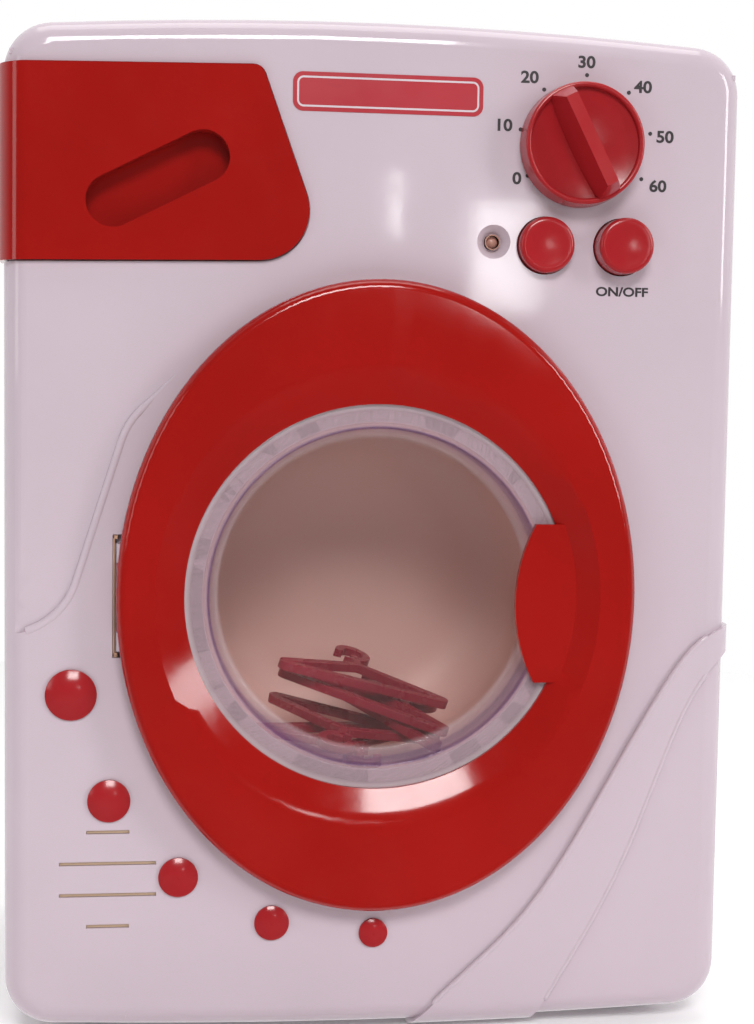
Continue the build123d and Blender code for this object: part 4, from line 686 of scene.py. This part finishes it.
# %% Numbers and words
NUMBER_HEIGHT, NUMBER_WIDTH = 3.0, 1.12
numbers = [
    (0, 33.3, 213.1),
    (10, 30.1, 225.8),
    (20, 36.0, 237.5),
    (30, 50.1, 241.6),
    (40, 64.3, 236.1),
    (50, 70.2, 224.2),
    (60, 68.7, 212.2),
]
for number, x, z in numbers:
    printed("dial_number_" + str(number), str(number), x, z, NUMBER_HEIGHT, NUMBER_WIDTH)
printed("switch_words", "ON/OFF", 60.3, 186.1, 2.3, 1.2)
print("numbers:", len(numbers))

# %% [markdown]
# The dots stand evenly, 40 degrees apart on one circle, so a loop places them. Each is a very flat
# disc, and together they are one piece.

# %% The dial's dots
DIAL_X, DIAL_Z = 50.2, 222.0
DOT_CIRCLE, DOT_RADIUS, DOT_THICKNESS = 16.46, 0.5, 0.05
FIRST_DOT, DOT_STEP = 210.0, 40.0
dots = bmesh.new()
for step in range(len(numbers)):
    angle = math.radians(FIRST_DOT - DOT_STEP * step)
    dot_x = (DIAL_X + DOT_CIRCLE * math.cos(angle)) * MM
    dot_z = (DIAL_Z + DOT_CIRCLE * math.sin(angle)) * MM
    bmesh.ops.create_cone(
        dots,
        cap_ends=True,
        segments=20,
        radius1=DOT_RADIUS * MM,
        radius2=DOT_RADIUS * MM,
        depth=DOT_THICKNESS * MM,
        matrix=Matrix.Translation((dot_x, front_y - INK_DEPTH * MM, dot_z)) @ UPRIGHT,
    )
settle("dial_dots", dots, print_ink, "cabinet")
print("dots:", len(numbers))

# %% [markdown]
# A plain plate takes the badge's place: a red rounded label with a narrow pale line inside its edge.
# It is one flat face whose corners are bevelled round and which is then given a thickness. The line
# is made in the same way, with its middle cut away first.

# %% The plain label
LABEL_X, LABEL_Z = 1.5, 232.2
label_red = moulded("label_red", (0.40, 0.010, 0.022), 0.06, (0.3, 0.45), 2400.0, 0.00001)
label_line = moulded("label_line", (0.62, 0.52, 0.56), 0.03, (0.35, 0.5), 2400.0, 0.00001)


def plate(name, x, z, width, height, corner, front, back, finish, hole=0.0):
    """A thin rounded plate on the front, or with a hole a rounded frame of that line width."""
    shape = bmesh.new()
    middle = Matrix.Translation((x * MM, front_y - front * MM, z * MM))
    size = Matrix.Diagonal((width / 2 * MM, height / 2 * MM, 1.0, 1.0))
    bmesh.ops.create_grid(shape, x_segments=1, y_segments=1, size=1.0, matrix=middle @ UPRIGHT @ size)
    round_edges(shape, list(shape.verts), corner, 10, affect="VERTICES")
    if hole:
        inner = bmesh.ops.inset_region(
            shape, faces=list(shape.faces), thickness=hole * MM, use_boundary=True, use_even_offset=True
        )
        keep = set(inner["faces"])
        bmesh.ops.delete(shape, geom=[face for face in shape.faces if face not in keep], context="FACES")
    grown = bmesh.ops.extrude_face_region(shape, geom=list(shape.faces))
    moved = [item for item in grown["geom"] if isinstance(item, bmesh.types.BMVert)]
    bmesh.ops.translate(shape, verts=moved, vec=(0.0, (front - back) * MM, 0.0))
    bmesh.ops.recalc_face_normals(shape, faces=shape.faces)
    return settle(name, shape, finish, "cabinet")


plate("plain_label", LABEL_X, LABEL_Z, 46.2, 9.3, 2.4, 0.12, 0.01, label_red)
plate("label_line", LABEL_X, LABEL_Z, 44.2, 7.3, 1.6, 0.15, 0.12, label_line, 0.45)
print("label ready")

# %% [markdown]
# The slots over the speaker read as pale lines and not as black gaps. A beige strip just below the
# surface in each is painted light: it stands for the warm light that comes through the white plastic,
# and it is given a fine weave.

# %% The weave of the painted glow
painted_slot_glow, tree, shader, place = surface("painted_slot_glow")
thread = tree.nodes.new("ShaderNodeTexWave")
thread.bands_direction = "DIAGONAL"
thread.inputs["Scale"].default_value = 1400.0
thread.inputs["Distortion"].default_value = 1.5
tree.links.new(place, thread.inputs["Vector"])
# painted light: two beiges for the warm light through the white plastic, woven by the wave
glow_weave_tone = between(tree, thread.outputs["Fac"], (0.42, 0.29, 0.19), (0.56, 0.41, 0.29))
tree.links.new(glow_weave_tone, shader.inputs["Base Color"])
shader.inputs["Roughness"].default_value = 0.9
ripple(tree, shader, place, 2500.0, 0.00006)
painted_slot_glow.diffuse_color = (0.5, 0.36, 0.25, 1.0)
print("weave ready")

# %% [markdown]
# Only what shows in the slots is made: a strip in each, a hair narrower than its slot. The two slots
# in the middle are long and the outer ones short, and all four stand evenly about one height.

# %% Strips of painted glow
SLOT_LENGTHS = (10.4, 23.4, 23.4, 10.4)
SLOT_X, SLOT_Z, SLOT_PITCH = -64.8, 40.9, 7.8
GLOW_STRIP_DEPTH, GLOW_STRIP_THICKNESS, GLOW_STRIP_HEIGHT = 0.75, 0.5, 0.8
glow_strip_shapes = bmesh.new()
for row, length in enumerate(SLOT_LENGTHS):
    height = SLOT_Z + (1.5 - row) * SLOT_PITCH
    middle = Matrix.Translation((SLOT_X * MM, front_y + GLOW_STRIP_DEPTH * MM, height * MM))
    size = Matrix.Diagonal(((length - 0.1) * MM, GLOW_STRIP_THICKNESS * MM, GLOW_STRIP_HEIGHT * MM, 1.0))
    bmesh.ops.create_cube(glow_strip_shapes, size=1.0, matrix=middle @ size)
round_edges(glow_strip_shapes, list(glow_strip_shapes.edges), 0.12, 2)
settle("slot_glow_strips", glow_strip_shapes, painted_slot_glow, "cabinet")
print("cloth ready")

# %% [markdown]
# The camera stands where the photographer stood: a little to the left, slightly above, and
# 42 centimetres away, which is close enough to splay the toy's sides. Its place and turn come from
# the point that it looks at, three angles and that distance. The last angle is the small tilt of a
# camera held by hand. The focal length and the picture's width are in pixels of the photograph.

# %% The camera
PHOTO_WIDTH, FOCAL_LENGTH = 754.0, 1714.0
CAMERA_DISTANCE = 0.42
SENSOR = 36.0
aim = Vector((0.00015, -0.052, 0.13127))
swing = math.radians(-7.09)
rise = math.radians(4.23)
roll = math.radians(0.85)
outward = Vector((math.sin(swing) * math.cos(rise), -math.cos(swing) * math.cos(rise), math.sin(rise)))
right = Vector((0, 0, 1)).cross(outward).normalized()
above = outward.cross(right)
tilted_right = math.cos(roll) * right + math.sin(roll) * above
tilted_above = math.cos(roll) * above - math.sin(roll) * right
camera_data = bpy.data.cameras.new("portrait_camera")
camera_data.sensor_fit = "HORIZONTAL"
camera_data.sensor_width = SENSOR
camera_data.lens = SENSOR * FOCAL_LENGTH / PHOTO_WIDTH
camera_data.clip_start = 0.01
camera = add("portrait_camera", camera_data)
turn = Matrix((tilted_right, tilted_above, outward)).transposed().to_4x4()
camera.matrix_world = Matrix.Translation(aim + CAMERA_DISTANCE * outward) @ turn
bpy.context.scene.camera = camera
print("camera at", [round(part, 4) for part in camera.matrix_world.translation])

# %% [markdown]
# A product picture needs a pale floor without an edge. Here it is a white disc that shines very
# faintly, so that its rim nearly vanishes in the white behind it. It doesn't show in reflections,
# because glossy red only looks red if it reflects something dark.

# %% The floor
floor_mesh = bpy.data.meshes.new("studio_floor")
shape = bmesh.new()
bmesh.ops.create_circle(shape, cap_ends=True, segments=96, radius=0.55)
shape.to_mesh(floor_mesh)
shape.free()
floor = add("studio_floor", floor_mesh)
floor_paint, tree, shader, place = surface("studio_paint")
soft_white = between(tree, noise(tree, place, 3.0), (0.90, 0.90, 0.90), (0.94, 0.94, 0.94))
tree.links.new(soft_white, shader.inputs["Base Color"])
shader.inputs["Roughness"].default_value = 0.9
shader.inputs["Emission Color"].default_value = (1.0, 1.0, 1.0, 1.0)
shader.inputs["Emission Strength"].default_value = 0.08
floor_mesh.materials.append(floor_paint)
floor.visible_glossy = False
print("floor ready")

# %% [markdown]
# For the same reason the room is white behind the toy and dim in front of it. Its brightness depends
# on the direction, and only a ray that comes straight from the camera sees it white all round.

# %% The room
room = bpy.data.worlds.new("studio_room")
room.use_nodes = True
walls = room.node_tree
sky = walls.nodes["Background"]
direction = walls.nodes.new("ShaderNodeTexCoord")
parts = walls.nodes.new("ShaderNodeSeparateXYZ")
walls.links.new(direction.outputs["Generated"], parts.inputs["Vector"])
depth = walls.nodes.new("ShaderNodeMapRange")
depth.interpolation_type = "SMOOTHSTEP"
depth.inputs["From Min"].default_value = -0.5
depth.inputs["From Max"].default_value = 0.35
depth.inputs["To Min"].default_value = 0.10
depth.inputs["To Max"].default_value = 1.0
walls.links.new(parts.outputs["Y"], depth.inputs["Value"])
seen = walls.nodes.new("ShaderNodeLightPath")
brightness = walls.nodes.new("ShaderNodeMix")
brightness.data_type = "FLOAT"
brightness.inputs["B"].default_value = 1.0
walls.links.new(seen.outputs["Is Camera Ray"], brightness.inputs["Factor"])
walls.links.new(depth.outputs["Result"], brightness.inputs["A"])
walls.links.new(brightness.outputs["Result"], sky.inputs["Strength"])
sky.inputs["Color"].default_value = (1.0, 1.0, 1.0, 1.0)
bpy.context.scene.world = room
print("room ready")

# %% [markdown]
# Soft lamps do the lighting in front. The large ones shape the toy, and the two smallest only draw
# the bright shapes of windows on the glossy panel. Each has a place, a size and a power.

# %% The lamps
TOY_MIDDLE = Vector((0, 0, 0.12))


def soft_light(name, place, size, power):
    """A rectangular lamp that looks at the middle of the toy."""
    lamp = bpy.data.lights.new(name, "AREA")
    lamp.shape = "RECTANGLE"
    lamp.size, lamp.size_y = size
    lamp.energy = power
    stand = add(name, lamp)
    look = (TOY_MIDDLE - Vector(place)).to_track_quat("-Z", "Y")
    stand.matrix_world = Matrix.Translation(place) @ look.to_matrix().to_4x4()


soft_light("front_light", (-0.02, -1.13, 0.88), (0.5, 0.35), 9.8)
soft_light("right_window", (1.0, -0.72, 0.53), (0.25, 0.6), 4.6)
soft_light("left_light", (-1.0, -0.7, 0.45), (0.3, 0.6), 1.2)
soft_light("top_light", (0.0, 0.0, 1.2), (0.9, 0.6), 4.0)
soft_light("small_window", (0.263, -1.226, 0.284), (0.06, 0.1), 0.2)
soft_light("thin_window", (0.16, -1.23, 0.33), (0.012, 0.06), 0.02)
bpy.context.scene.view_settings.view_transform = "Standard"
print("lamps ready")
